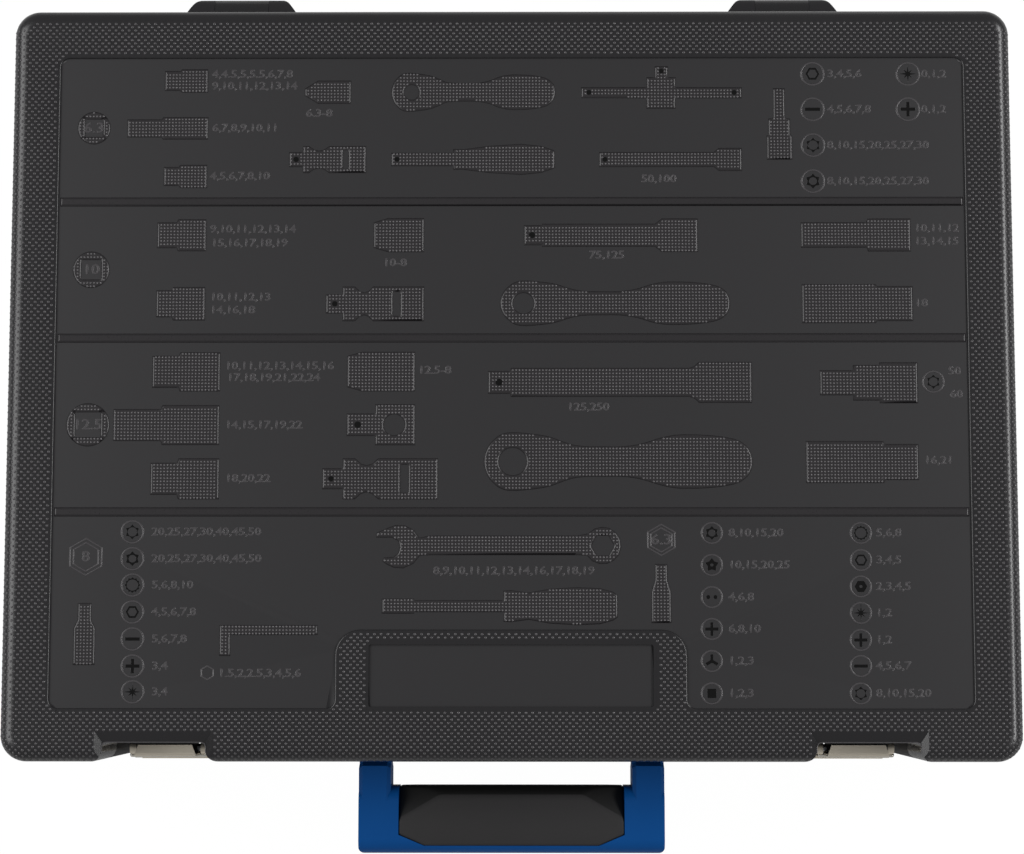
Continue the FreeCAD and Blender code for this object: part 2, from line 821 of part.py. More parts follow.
def ratchet_gear(tool):
    """The drive: a round gear body in the head with the square below it."""
    floor = tool.top() - tool.cover - running_fit
    body = rod(tool.head_radius - tool.gear_wall, V(0, 0, -tool.top()), V(0, 0, floor))
    low = -tool.top() - tool.drive * square_share
    half = tool.drive / 2
    body = body.fuse(box(-half, half, -half, half, low, 0))
    well = floor - tool.button_travel * 2 - tool.cover
    return body.cut(rod(tool.button_radius + pocket_gap, V(0, 0, well), V(0, 0, floor + OVER)))


def ratchet_button(tool):
    """The quick-release button in the middle of the head's top."""
    low = tool.top() - tool.cover - tool.button_travel
    return rod(tool.button_radius, V(0, 0, low), V(0, 0, tool.top() + tool.button_proud))


def ratchet_lever(tool):
    """The reversing lever: a post in the head and a thumb tab towards the handle."""
    place = tool.lever_place()
    floor = tool.top() - tool.cover
    z0 = tool.top() + pocket_gap
    wide = tool.lever_post * tool.lever_boss_share
    tip = tool.lever_post
    far = place + tool.lever_length
    edges = lines(V(place, wide, z0), V(far - tip, tip, z0))
    edges.append(arc(V(far - tip, tip, z0), V(far, 0, z0), V(far - tip, -tip, z0)))
    edges += lines(V(far - tip, -tip, z0), V(place, -wide, z0))
    edges.append(arc(V(place, -wide, z0), V(place - wide, 0, z0), V(place, wide, z0)))
    tab = filled(edges).extrude(V(0, 0, tool.lever_height))
    return tab.fuse(rod(tool.lever_post, V(place, 0, floor + tool.cover / 2), V(place, 0, z0)))


def ratchet(name, tool, x, y, z):
    """Writes the five pieces of one ratchet, head at x."""
    grip = swelling_grip(tool.grip_start(), tool.end(), tool.grip_radius, tool.shank_radius,
                         tool.shank_end() + running_fit)
    save(name + "_body", moved(ratchet_body(tool), x, y, z))
    save(name + "_grip", moved(grip, x, y, z))
    save(name + "_drive_gear", moved(ratchet_gear(tool), x, y, z))
    save(name + "_release_button", moved(ratchet_button(tool), x, y, z))
    save(name + "_reverse_lever", moved(ratchet_lever(tool), x, y, z))


def joint_yoke(drive):
    """One fork of a universal joint: ears at +Y and -Y about the origin, body towards +X."""
    radius = drive * joint_radius_share
    slot = radius * joint_slot_share
    ear = math.sqrt(radius ** 2 - slot ** 2)
    end = drive * joint_length_share / 2
    fork = rod(radius, V(-ear, 0, 0), V(end - drive * square_share, 0, 0))
    fork = fork.cut(box(-ear - OVER, radius * joint_throat_share, -slot, slot, -radius, radius))
    tip = rod(ear, V(0, -radius, 0), V(0, radius, 0))
    return fork.cut(box(-ear - OVER, 0, -radius, radius, -radius, radius).cut(tip))


def universal_joint(name, drive, x, y, z):
    """Writes a universal joint: driven fork, cross, and the fork with the square drive."""
    radius = drive * joint_radius_share
    pin = radius * joint_pin_share
    end = drive * joint_length_share / 2
    yoke = joint_yoke(drive)
    hole_y = rod(pin + running_fit, V(0, -radius, 0), V(0, radius, 0))
    fork = yoke.fuse(square_bar(drive, end - drive * square_share, end)).cut(hole_y)
    driven = yoke.fuse(rod(radius, V(end - drive * square_share, 0, 0), V(end, 0, 0)))
    driven = driven.rotated(V(), V(0, 0, 1), 180).rotated(V(), V(1, 0, 0), 90)
    driven = driven.cut(square_bar(drive, -end - OVER, -end + drive * square_share))
    driven = driven.cut(rod(pin, V(0, 0, -radius), V(0, 0, radius)))
    half = radius * joint_slot_share - joint_cross_gap
    core = rod(half, V(0, -half, 0), V(0, half, 0)).common(rod(half, V(0, 0, -half), V(0, 0, half)))
    reach = math.sqrt(radius ** 2 - pin ** 2)
    cross = core.fuse([rod(pin, V(0, -reach, 0), V(0, reach, 0)), rod(pin, V(0, 0, -reach), V(0, 0, reach))])
    save(name + "_driven_fork", moved(driven, x, y, z))
    save(name + "_cross", moved(cross, x, y, z))
    save(name + "_drive_fork", moved(fork, x, y, z))


def sliding_bar(x, y, z):
    """Writes the sliding T-bar: its rod and the head that slides along it."""
    half = slide_length / 2
    save("sliding_bar_rod", moved(rod(slide_rod_radius, V(-half, 0, 0), V(half, 0, 0)), x, y, z))
    head = rod(slider_radius, V(0, -slider_front, 0), V(0, slider_back, 0))
    side = quarter_sockets.drive / 2
    head = head.fuse(box(-side, side, -slider_front - quarter_sockets.drive * square_share, 0, -side, side))
    head = head.cut(rod(slide_rod_radius + running_fit, V(-half, 0, 0), V(half, 0, 0)))
    save("sliding_bar_head", moved(head, x, y, z))


def spinner(x, y, z):
    """Writes the spinner handle: a shaft with a square tip and a swelling grip."""
    start = spinner_length - spinner_grip
    tip = quarter_sockets.drive * square_share
    shaft = rod(spinner_shaft_radius, V(tip, 0, 0), V(start + spinner_tail, 0, 0))
    shaft = shaft.fuse(square_bar(quarter_sockets.drive, 0, tip + spinner_shaft_radius))
    grip = swelling_grip(start, spinner_length, spinner_grip_radius, spinner_shaft_radius,
                         start + spinner_tail + running_fit)
    save("spinner_shaft", moved(shaft, x, y, z))
    save("spinner_grip", moved(grip, x, y, z))


def wrench_length(size):
    """Overall length of a combination wrench."""
    return wrench_length_base + wrench_length_rise * size


def jaw_radius(size):
    """Outer radius of a wrench's open end."""
    return size + wrench_jaw_wall / 2


def ring_radius(size):
    """Outer radius of a wrench's ring end."""
    return size / math.sqrt(3) + wrench_ring_wall + size * wrench_head_rise / 4


def wrench_head(size):
    """Height of a wrench's ends."""
    return wrench_head_base + wrench_head_rise * size


def wrench_plan(size, grow, z0, z1):
    """Ring end, open end and shank of a wrench along -Y from its ring's centre."""
    ring = ring_radius(size) + grow
    jaw = jaw_radius(size) + grow
    far = V(0, -(wrench_length(size) - ring_radius(size) - jaw_radius(size)), 0)
    half = size * wrench_shank_share / 2 + grow
    rise = V(0, 0, z0)
    ends = [rod(ring, rise, V(0, 0, z1)), rod(jaw, far + rise, far + V(0, 0, z1))]
    return ends, box(-half, half, far.y, 0, z0, z1)


def wrench(size):
    """A combination wrench, ring end at the origin, its upper side at z = 0."""
    height = wrench_head(size)
    ends, _ = wrench_plan(size, 0, -height, 0)
    _, shank = wrench_plan(size, 0, wrench_shank_thin - height, -wrench_shank_thin)
    form = ends[0].fuse([ends[1], shank])
    hole = hex_bar(size + wrench_fit, -OVER - height, OVER).rotated(V(), V(0, 1, 0), -90)
    far = -(wrench_length(size) - ring_radius(size) - jaw_radius(size))
    depth = jaw_radius(size)
    half = (size + wrench_fit) / 2
    throat_y = depth * wrench_throat_share
    mouth = box(-half, half, -depth - OVER, throat_y, -height - OVER, OVER)
    throat = rod(half, V(0, throat_y, -height - OVER), V(0, throat_y, OVER))
    mouth = mouth.fuse(throat).rotated(V(), V(0, 0, 1), wrench_jaw_turn).translated(V(0, far, 0))
    return form.cut([hole, mouth])


def hex_key(size, offset):
    """A bent hexagonal key lying flat, its corner set in by offset along both arms."""
    bend = size * key_bend
    long_arm = key_long_base + key_long_rise * size
    short_arm = key_short_base + key_short_rise * size
    start = V(offset + short_arm, offset, 0)
    turn = bend * (1 - math.sqrt(0.5))
    near = V(offset + bend, offset, 0)
    after = V(offset, offset + bend, 0)
    path = lines(start, near)
    path.append(arc(near, V(offset + turn, offset + turn, 0), after))
    path += lines(after, V(offset, offset + long_arm, 0))
    section = hexagon(size, start.x)
    section.translate(V(0, offset, 0))
    return Part.Wire(path).makePipeShell([section], True, True)


def key_offsets():
    """How far each key is set in from the nest's corner."""
    offsets = []
    place = 0.0
    for size in key_sizes:
        offsets.append(place + size / math.sqrt(3))
        place += 2 * size / math.sqrt(3) + key_gap
    return offsets


def bit(kind):
    """A screwdriver bit along X with its shank at 0 and one of four tips."""
    neck = bit_length - bit_tip
    half = bit_hex * bit_tip_share
    blade = half * bit_blade_share
    flat = box(neck, bit_length, -half, half, -blade, blade)
    tips = (hex_bar(2 * half, neck, bit_length),
            flat,
            flat.fuse(box(neck, bit_length, -blade, blade, -half, half)),
            square_bar(half * math.sqrt(2), neck, bit_length))
    return hex_bar(bit_hex, 0, neck).fuse(tips[kind])


# Trays

def liner(inset, z0, z1):
    """The room inside one half of the case, clear of the notches and the handle recess."""
    half_x = case_width / 2 - inset
    half_y = case_depth / 2 - inset
    room = rounded_prism(-half_x, half_x, -half_y, half_y, z0, z1, corner_radius)
    return room.cut([handle_recess(inset, z0 - OVER, z1 + OVER)] + notches(inset))


def trough(x0, x1, y, z, radius, deck):
    """A round-bottomed pocket along X, open at the deck, and the tub round it."""
    low = V(x0, y - radius, z)
    high = V(x0, y + radius, z)
    edges = [arc(low, V(x0, y, z - radius), high)]
    edges += lines(high, high + V(0, 0, deck + OVER - z), low + V(0, 0, deck + OVER - z), low)
    cut = filled(edges).extrude(V(x1 - x0, 0, 0))
    tub = box(x0 - tray_wall, x1 + tray_wall, y - radius - tray_wall, y + radius + tray_wall,
              z - radius - tray_wall, deck)
    return cut, tub


class Tray:
    """A pocketed liner that gathers its pockets and is cut at the end."""

    def __init__(self, deck, edge):
        thick = tray_wall if edge < deck else -tray_wall
        shell = liner(liner_inset, min(deck, edge), max(deck, edge))
        hollow = liner(liner_inset + tray_wall, min(deck - thick, edge - OVER * thick),
                       max(deck - thick, edge - OVER * thick))
        self.shell = shell.cut(hollow)
        self.deck = deck
        self.cuts = []
        self.tubs = []

    def trough_x(self, x0, x1, y, z, radius):
        """Adds a round pocket along X."""
        cut, tub = trough(x0 - pocket_gap, x1 + pocket_gap, y, z, radius + pocket_gap, self.deck)
        self.cuts.append(cut)
        self.tubs.append(tub)

    def trough_y(self, x, y0, y1, z, radius):
        """Adds a round pocket along Y."""
        cut, tub = trough(y0 - pocket_gap, y1 + pocket_gap, -x, z, radius + pocket_gap, self.deck)
        self.cuts.append(turned_to_y(cut))
        self.tubs.append(turned_to_y(tub))

    def well_up(self, x0, x1, y0, y1, z0):
        """Adds a square pocket that opens upwards at the deck."""
        self.cuts.append(box(x0 - pocket_gap, x1 + pocket_gap, y0 - pocket_gap, y1 + pocket_gap,
                             z0 - pocket_gap, self.deck + OVER))
        edge = pocket_gap + tray_wall
        self.tubs.append(box(x0 - edge, x1 + edge, y0 - edge, y1 + edge, z0 - edge, self.deck))

    def well_down(self, x0, x1, y0, y1, z1):
        """Adds a square pocket that opens downwards at the deck."""
        self.cuts.append(box(x0 - pocket_gap, x1 + pocket_gap, y0 - pocket_gap, y1 + pocket_gap,
                             self.deck - OVER, z1 + pocket_gap))
        edge = pocket_gap + tray_wall
        self.tubs.append(box(x0 - edge, x1 + edge, y0 - edge, y1 + edge, self.deck, z1 + edge))

    def form(self):
        """The finished tray."""
        return self.shell.fuse(self.tubs).cut(self.cuts)


def lay_sockets(name, kind, places, y, tray):
    """Writes a row of sockets along Y, mouths to the front, each in its trough."""
    row = []
    for size, x in zip(kind.sizes, places):
        z = base_deck - tool_sink
        row.append(moved(turned_to_y(socket(kind, size)), x, y - kind.length / 2, z))
        tray.trough_y(x, y - kind.length / 2, y + kind.length / 2, z, kind.widest(size))
    save(name, *row)


def lay_ratchet(name, tool, x, y, tray):
    """Writes a ratchet whose length is centred on x, with its pocket."""
    z = base_deck - tool_sink
    head = x - tool.length / 2 + tool.head_radius
    ratchet(name, tool, head, y, z)
    tray.trough_x(head, head + tool.end(), y, z, tool.grip_radius)
    tray.well_up(head - tool.head_radius, head + tool.head_radius, y - tool.head_radius, y + tool.head_radius,
                 z - tool.top())
    half = tool.drive / math.sqrt(2)
    tray.well_up(head - half, head + half, y - half, y + half, z - tool.top() - tool.drive * square_share)


def lay_joint(name, drive, x, y, tray):
    """Writes a universal joint centred on x, with a pocket that its drive end can swing up out of."""
    z = base_deck - tool_sink
    half = drive * joint_length_share / 2
    radius = drive * joint_radius_share
    universal_joint(name, drive, x, y, z)
    tray.well_up(x - half, x + math.hypot(half, drive / 2), y - radius, y + radius, z - radius)


def lay_sliding_bar(x, y, tray):
    """Writes the sliding bar centred on x, with room for its head's travel."""
    z = base_deck - tool_sink
    sliding_bar(x, y, z)
    tray.trough_x(x - slide_length / 2, x + slide_length / 2, y, z, slide_rod_radius)
    reach = slider_travel + slider_radius
    square = quarter_sockets.drive * square_share
    tray.well_up(x - reach, x + reach, y - slider_front - square, y + slider_back, z - slider_radius)


def fill_base(tray):
    """Lays out the rows of the base tray, from the handle to the hinges."""
    margin = liner_inset + tray_wall + row_margin
    x_high = case_width / 2 - margin
    y_low = front + recess_depth + margin
    y_high = back - margin
    plug_size = plug_socket.sizes[0]
    slide_depth = slider_front + slider_back + quarter_sockets.drive * square_share
    rows = spread([middle_sockets.length, 2 * spinner_grip_radius, 2 * plug_socket.widest(plug_size),
                   2 * middle_ratchet.head_radius, 2 * half_ratchet.head_radius, half_sockets.length],
                  y_low, y_high)
    small = [2 * kind.widest(size) for kind in (middle_sockets, quarter_sockets) for size in kind.sizes]
    places = spread(small, -x_high, x_high)
    count = len(middle_sockets.sizes)
    lay_sockets("sockets_three_eighths", middle_sockets, places[:count], rows[0], tray)
    lay_sockets("sockets_quarter", quarter_sockets, places[count:], rows[0], tray)

    quarter = quarter_sockets.drive
    places = spread([spinner_length, quarter_ratchet.length, quarter * joint_length_share], -x_high, x_high)
    z = base_deck - tool_sink
    spinner(places[0] - spinner_length / 2, rows[1], z)
    grip_start = places[0] + spinner_length / 2 - spinner_grip
    tray.trough_x(grip_start, places[0] + spinner_length / 2, rows[1], z, spinner_grip_radius)
    tray.trough_x(places[0] - spinner_length / 2, grip_start, rows[1], z,
                  max(spinner_shaft_radius, quarter / math.sqrt(2)))
    lay_ratchet("ratchet_quarter", quarter_ratchet, places[1], rows[1], tray)
    lay_joint("universal_joint_quarter", quarter, places[2], rows[1], tray)

    places = spread([extension_length, plug_socket.length], -x_high, x_high)
    half = extension_length / 2
    save("extension_bar", moved(extension(), places[0] - half, rows[2], z))
    tray.trough_x(places[0] - half, places[0] + half, rows[2], z, half_sockets.body / 2)
    half = plug_socket.length / 2
    save("spark_plug_socket", moved(socket(plug_socket, plug_size), places[1] - half, rows[2], z))
    tray.trough_x(places[1] - half, places[1] + half, rows[2], z, plug_socket.widest(plug_size))

    places = spread([middle_ratchet.length, slide_length], -x_high, x_high)
    lay_ratchet("ratchet_three_eighths", middle_ratchet, places[0], rows[3], tray)
    lay_sliding_bar(places[1], rows[3] + (slide_depth - 2 * slider_back) / 2, tray)

    half_drive = half_sockets.drive
    places = spread([half_ratchet.length, half_drive * joint_length_share], -x_high, x_high)
    lay_ratchet("ratchet_half", half_ratchet, places[0], rows[4], tray)
    lay_joint("universal_joint_half", half_drive, places[1], rows[4], tray)

    places = spread([2 * half_sockets.widest(size) for size in half_sockets.sizes], -x_high, x_high)
    lay_sockets("sockets_half", half_sockets, places, rows[5], tray)


def lay_wrenches(places, y_high, tray):
    """Writes the wrenches, ring ends towards the hinges, each in a pocket of its own outline."""
    row = []
    floor = lid_deck + wrench_pocket
    for size, x in zip(wrench_sizes, places):
        y = y_high - ring_radius(size)
        row.append(moved(wrench(size), x, y, floor))
        ends, shank = wrench_plan(size, pocket_gap, lid_deck - OVER, floor + pocket_gap)
        tray.cuts += [moved(shape, x, y, 0) for shape in ends + [shank]]
        half = jaw_radius(size) + pocket_gap + tray_wall
        low = y + ring_radius(size) - wrench_length(size)
        margin = pocket_gap + tray_wall
        tray.tubs.append(box(x - half, x + half, low - margin, y_high + margin, lid_deck, floor + margin))
    save("combination_wrenches", *row)


def rack_width():
    """Length of a bit rack."""
    return bit_pitch * (bits_per_rack - 1) + bit_hex + 2 * rack_end


def lay_racks(places, y_low, tray):
    """Writes the bit racks and their bits, which lie along Y."""
    racks = []
    bits = []
    z = lid_deck + rack_height / 2 - tool_sink
    y = y_low + bit_length / 2
    half = rack_width() / 2
    for place in places:
        rack = box(place - half, place + half, y - rack_depth, y, z - rack_height / 2, z + rack_height / 2)
        for n in range(bits_per_rack):
            x = place + bit_pitch * (n - (bits_per_rack - 1) / 2)
            hole = turned_to_y(hex_bar(bit_hex + 2 * rack_fit, -rack_depth - OVER, OVER))
            rack = rack.cut(moved(hole, x, y, z))
            bits.append(moved(turned_to_y(bit(n % bit_kinds)), x, y_low, z))
        racks.append(rack)
        tray.well_down(place - half, place + half, y_low, y_low + bit_length, z + rack_height / 2)
    save("bit_racks", *racks)
    save("screwdriver_bits", *bits)


def lay_keys(x, y_low, tray):
    """Writes the nest of hexagonal keys in one flat pocket."""
    keys = []
    largest = key_sizes[0]
    floor = lid_deck + largest / 2
    for size, offset in zip(key_sizes, key_offsets()):
        keys.append(moved(hex_key(size, offset), x, y_low, floor - size / math.sqrt(3)))
    width = key_nest_width()
    pairs = list(zip(key_sizes, key_offsets()))
    deep = max(offset + key_long_base + key_long_rise * size for size, offset in pairs)
    tray.well_down(x, x + width, y_low, y_low + deep, floor)
    save("hex_keys", *keys)


def key_nest_width():
    """Width of the pocket for the keys."""
    pairs = zip(key_sizes, key_offsets())
    return max(offset + key_short_base + key_short_rise * size for size, offset in pairs)


def fill_lid(tray):
    """Lays out the wrenches, the bit racks and the keys in the lid tray."""
    margin = liner_inset + tray_wall + row_margin
    x_high = case_width / 2 - margin
    y_low = front + recess_depth + margin
    widths = [2 * jaw_radius(size) for size in wrench_sizes]
    lay_wrenches(spread(widths, -x_high, x_high), back - margin, tray)
    places = spread([rack_width(), rack_width(), key_nest_width()], -x_high, x_high)
    lay_racks(places[:2], y_low, tray)
    lay_keys(places[2] - key_nest_width() / 2, y_low, tray)


os.makedirs("parts", exist_ok=True)

save("base_shell", base_shell())
save("lid_shell", lid_shell())
save("hinge_pins", *hinge_pins(hinge_pin_radius))
save("latch_lever_pins", *latch_pins(latch_pin_radius))
for side, word in zip(sides, ("left", "right")):
    save("latch_lever_" + word, latch_lever(side))
    save("latch_hook_" + word, latch_hook(side))
    hook_pins = latch_pins(hook_pin_radius, hook_pivot_drop, hook_pivot_shift)
    save("latch_hook_pin_" + word, hook_pins[sides.index(side)])
save("handle_frame", handle_frame())
save("handle_grip", handle_grip())
save("handle_pins", *handle_pins())

base_tray = Tray(base_deck, edge_radius + tray_gap)
fill_base(base_tray)
save("base_tray", base_tray.form())
lid_tray = Tray(lid_deck, case_height - edge_radius - tray_gap)
fill_lid(lid_tray)
save("lid_tray", lid_tray.form())
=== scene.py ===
"""Looks of a socket wrench set in its carrying case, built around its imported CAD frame.

The lid's knurled border, the raised pictograms with their size numbers, the soft grips and all finishes are made here.
Sizes are in millimetres unless a name says otherwise.
"""

import json
import logging
import math
from contextlib import contextmanager
from dataclasses import dataclass, replace
from enum import Enum
from typing import Callable, Iterator

import bpy
import numpy as np
from mathutils import Matrix, Vector
from mathutils.bvhtree import BVHTree

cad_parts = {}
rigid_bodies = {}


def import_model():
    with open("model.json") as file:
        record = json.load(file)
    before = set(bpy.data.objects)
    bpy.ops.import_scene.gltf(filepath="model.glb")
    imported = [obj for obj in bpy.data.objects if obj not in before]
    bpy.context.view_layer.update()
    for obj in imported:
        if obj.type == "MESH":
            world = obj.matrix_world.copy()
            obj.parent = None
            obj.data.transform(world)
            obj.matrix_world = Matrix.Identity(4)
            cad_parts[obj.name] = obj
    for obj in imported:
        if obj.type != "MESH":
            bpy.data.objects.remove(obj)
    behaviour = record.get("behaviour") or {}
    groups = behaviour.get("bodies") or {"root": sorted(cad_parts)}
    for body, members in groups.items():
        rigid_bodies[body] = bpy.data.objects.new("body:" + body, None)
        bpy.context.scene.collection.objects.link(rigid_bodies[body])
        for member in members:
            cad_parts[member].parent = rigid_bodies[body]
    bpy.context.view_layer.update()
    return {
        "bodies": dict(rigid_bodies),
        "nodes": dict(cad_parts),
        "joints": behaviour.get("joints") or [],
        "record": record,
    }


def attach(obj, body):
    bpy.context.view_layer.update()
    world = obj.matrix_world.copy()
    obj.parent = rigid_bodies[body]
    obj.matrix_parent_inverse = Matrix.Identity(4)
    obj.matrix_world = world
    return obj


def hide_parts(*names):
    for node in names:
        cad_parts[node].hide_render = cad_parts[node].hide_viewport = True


MM = 0.001
SIDES = (-1, 1)
LID_MIDDLE = (0.0, 0.0, 90.0)
LOG = logging.getLogger("wrench_case")

Point = tuple[float, float]
Place = tuple[float, float, float]
Shape = tuple[list[Point], bool]


# ---------------------------------------------------------------- small helpers

def linear(code: str) -> tuple[float, float, float, float]:
    """Turns an sRGB hex colour into the linear colour that shaders take.

    Args:
        code: the colour as "#rrggbb".

    Returns:
        Red, green, blue and an alpha of 1.
    """
    parts = [int(code[i:i + 2], 16) / 255 for i in (1, 3, 5)]
    red, green, blue = (p / 12.92 if p <= 0.04045 else ((p + 0.055) / 1.055) ** 2.4 for p in parts)
    return red, green, blue, 1.0


def add_node(tree: bpy.types.NodeTree, kind: str, settings: dict[str | int, object] | None = None,
             links: dict[str | int, bpy.types.NodeSocket] | None = None) -> bpy.types.Node:
    """Adds one node with its settings and its incoming links.

    Args:
        tree: the node tree that gets the node.
        kind: the node's type name.
        settings: values by input name or number, or by property name.
        links: output sockets by the input that they feed.

    Returns:
        The new node.
    """
    made = tree.nodes.new(kind)
    for key, value in (settings or {}).items():
        if isinstance(key, str) and key not in made.inputs:
            setattr(made, key, value)
        else:
            made.inputs[key].default_value = value
    for key, source in (links or {}).items():
        tree.links.new(source, made.inputs[key])
    return made


def only(obj: bpy.types.Object) -> None:
    """Makes one object the active one and the only one selected.

    Args:
        obj: the object to select.
    """
    bpy.ops.object.select_all(action="DESELECT")
    obj.select_set(True)
    bpy.context.view_layer.objects.active = obj


def settle(obj: bpy.types.Object) -> bpy.types.Object:
    """Puts an object's place into its mesh, so that the object itself sits at the origin.

    Args:
        obj: the object to settle.

    Returns:
        The same object.
    """
    only(obj)
    bpy.ops.object.transform_apply(location=True, rotation=True, scale=True)
    return obj


@contextmanager
def editing() -> Iterator[None]:
    """Opens the active mesh with all of it selected, and closes it again.

    Returns:
        A context for the work on the open mesh.
    """
    bpy.ops.object.mode_set(mode="EDIT")
    bpy.ops.mesh.select_all(action="SELECT")
    yield
    bpy.ops.object.mode_set(mode="OBJECT")


def tidy_mesh(obj: bpy.types.Object, gap: float = 0.001) -> None:
    """Merges doubled points and turns all faces outwards.

    Args:
        obj: a mesh object.
        gap: the largest distance between doubled points, in mm.
    """
    only(obj)
    with editing():
        bpy.ops.mesh.remove_doubles(threshold=gap * MM)
        bpy.ops.mesh.normals_make_consistent(inside=False)


def apply_modifiers(obj: bpy.types.Object) -> None:
    """Applies every modifier of an object, in order.

    Args:
        obj: a mesh object.
    """
    only(obj)
    for modifier in list(obj.modifiers):
        bpy.ops.object.modifier_apply(modifier=modifier.name)


def round_edges(obj: bpy.types.Object, width: float, segments: int, limit: float, smooth: float) -> None:
    """Rounds the edges of a mesh and shades it smooth.

    Args:
        obj: a mesh object.
        width: the rounding's width, in mm.
        segments: its number of steps.
        limit: the least angle of an edge that is rounded, in degrees.
        smooth: the largest angle that is shaded smooth, in degrees.
    """
    rounding = obj.modifiers.new("round_edges", "BEVEL")
    rounding.width = width * MM
    rounding.segments = segments
    rounding.limit_method = "ANGLE"
    rounding.angle_limit = math.radians(limit)
    apply_modifiers(obj)
    bpy.ops.object.shade_smooth_by_angle(angle=math.radians(smooth))


def copy_of_node(frame: dict, node: str, flat: float | None = None) -> bpy.types.Object:
    """Copies a CAD node's mesh into a new, merged object.

    Args:
        node: the node's name.
        flat: the angle in degrees up to which triangles are joined into large faces, or None.

    Returns:
        A free object with its own mesh.
    """
    source = frame["nodes"][node]
    copied = bpy.data.objects.new(node + "_copy", source.data.copy())
    bpy.context.scene.collection.objects.link(copied)
    copied.matrix_world = source.matrix_world.copy()
    settle(copied)
    tidy_mesh(copied)
    if flat is not None:
        with editing():
            bpy.ops.mesh.dissolve_limited(angle_limit=math.radians(flat))
    return copied


def hand_over(obj: bpy.types.Object, name: str, body: str, finish: "Finish") -> None:
    """Names and dresses a finished piece, and lets it ride on its body.

    Args:
        obj: the piece.
        name: its name.
        body: the CAD body that it moves with.
        finish: its finish.
    """
    obj.name = name
    obj.data.name = name
    obj.data.materials.clear()
    obj.data.materials.append(finish.material())
    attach(obj, body)
    LOG.info("piece %s on %s, %d faces", name, body, len(obj.data.polygons))


# ---------------------------------------------------------------- finishes

@dataclass(frozen=True)
class Finish:
    """A surface whose colour drifts slowly and whose gloss and height follow a fine grain.

    A panel, where there is one, has a second colour and gloss: it lies inside a half-width and a half-depth and below a
    height, all in mm.
    """

    name: str
    colour: str
    drift_colour: str
    roughness: float
    roughness_spread: float = 0.08
    drift: float = 60.0
    grain: float = 0.6
    grain_height: float = 0.02
    metallic: float = 0.0
    specular: float = 0.5
    bite: float = 0.6
    stretch: Place = (1.0, 1.0, 1.0)
    panel: Place | None = None
    panel_colour: str = "#000000"
    panel_roughness: float = 0.5

    def material(self) -> bpy.types.Material:
        """Gives the finish's material, made at its first use.

        Returns:
            The material.
        """
        found = bpy.data.materials.get(self.name)
        if found is not None:
            return found
        made = bpy.data.materials.new(self.name)
        made.use_nodes = True
        made.node_tree.nodes.clear()
        self.draw(made.node_tree)
        return made

    def draw(self, tree: bpy.types.NodeTree) -> None:
        """Draws the nodes: object coordinates, a slow drift of colour, a fine grain for gloss and height.

        Args:
            tree: the material's empty node tree.
        """
        place = add_node(tree, "ShaderNodeTexCoord")
        turned = add_node(tree, "ShaderNodeMapping", {"Scale": self.stretch}, {"Vector": place.outputs["Object"]})
        slow = add_node(tree, "ShaderNodeTexNoise", {"Scale": 1 / (self.drift * MM), "Detail": 3.0},
                        {"Vector": place.outputs["Object"]})
        fine = add_node(tree, "ShaderNodeTexNoise", {"Scale": 1 / (self.grain * MM), "Detail": 2.0},
                        {"Vector": turned.outputs["Vector"]})
        tint = add_node(tree, "ShaderNodeMix", {"data_type": "RGBA", 6: linear(self.colour),
                                                7: linear(self.drift_colour)}, {0: slow.outputs["Fac"]})
        gloss = add_node(tree, "ShaderNodeMapRange", {"To Min": self.roughness - self.roughness_spread,
                                                      "To Max": self.roughness + self.roughness_spread},
                         {"Value": fine.outputs["Fac"]})
        colour, rough = tint.outputs[2], gloss.outputs["Result"]
        if self.panel is not None:
            inside = self.panel_share(tree, place.outputs["Object"])
            colour = add_node(tree, "ShaderNodeMix", {"data_type": "RGBA", 7: linear(self.panel_colour)},
                              {0: inside, 6: colour}).outputs[2]
            rough = add_node(tree, "ShaderNodeMix", {"data_type": "FLOAT", 3: self.panel_roughness},
                             {0: inside, 2: rough}).outputs[0]
        height = add_node(tree, "ShaderNodeBump", {"Strength": self.bite, "Distance": self.grain_height * MM},
                          {"Height": fine.outputs["Fac"]})
        shader = add_node(tree, "ShaderNodeBsdfPrincipled", {"Metallic": self.metallic,
                                                             "Specular IOR Level": self.specular},
                          {"Base Color": colour, "Roughness": rough, "Normal": height.outputs["Normal"]})
        add_node(tree, "ShaderNodeOutputMaterial", {}, {"Surface": shader.outputs["BSDF"]})

    def panel_share(self, tree: bpy.types.NodeTree, place: bpy.types.NodeSocket) -> bpy.types.NodeSocket:
        """Tells the panel from the rest by its place.

        Args:
            tree: the material's node tree.
            place: the object coordinates.

        Returns:
            A socket that is 1 on the panel and 0 elsewhere.
        """
        split = add_node(tree, "ShaderNodeSeparateXYZ", {}, {"Vector": place})
        share = None
        for axis, limit in zip("XYZ", self.panel):
            size = add_node(tree, "ShaderNodeMath", {"operation": "ABSOLUTE"}, {0: split.outputs[axis]})
            within = add_node(tree, "ShaderNodeMath", {"operation": "LESS_THAN", 1: limit * MM}, {0: size.outputs[0]})
            share = within.outputs[0] if share is None else add_node(
                tree, "ShaderNodeMath", {"operation": "MULTIPLY"}, {0: share, 1: within.outputs[0]}).outputs[0]
        return share


# Moulded charcoal polypropylene: polished on the border and the rounded edges, matt on the sunk panel, which is paler:
# the darker colour outside the panel is painted shade between the knurl domes.
CASE_PLASTIC = Finish("charcoal_moulded_polypropylene", "#1a191b", "#1f1e20", 0.26, roughness_spread=0.05, grain=0.9,
                      grain_height=0.012, panel=(179.0, 129.0, 93.5), panel_colour="#201f21", panel_roughness=0.48)
# Painted highlight: the knurl domes and the notch beads in a paler, smoother grey that stands for the light they catch.
PALE_HIGHLIGHT_PLASTIC = Finish("pale_painted_highlight_plastic", "#3c3a3c", "#464446", 0.24, roughness_spread=0.04, grain=1.5,
                       grain_height=0.004)
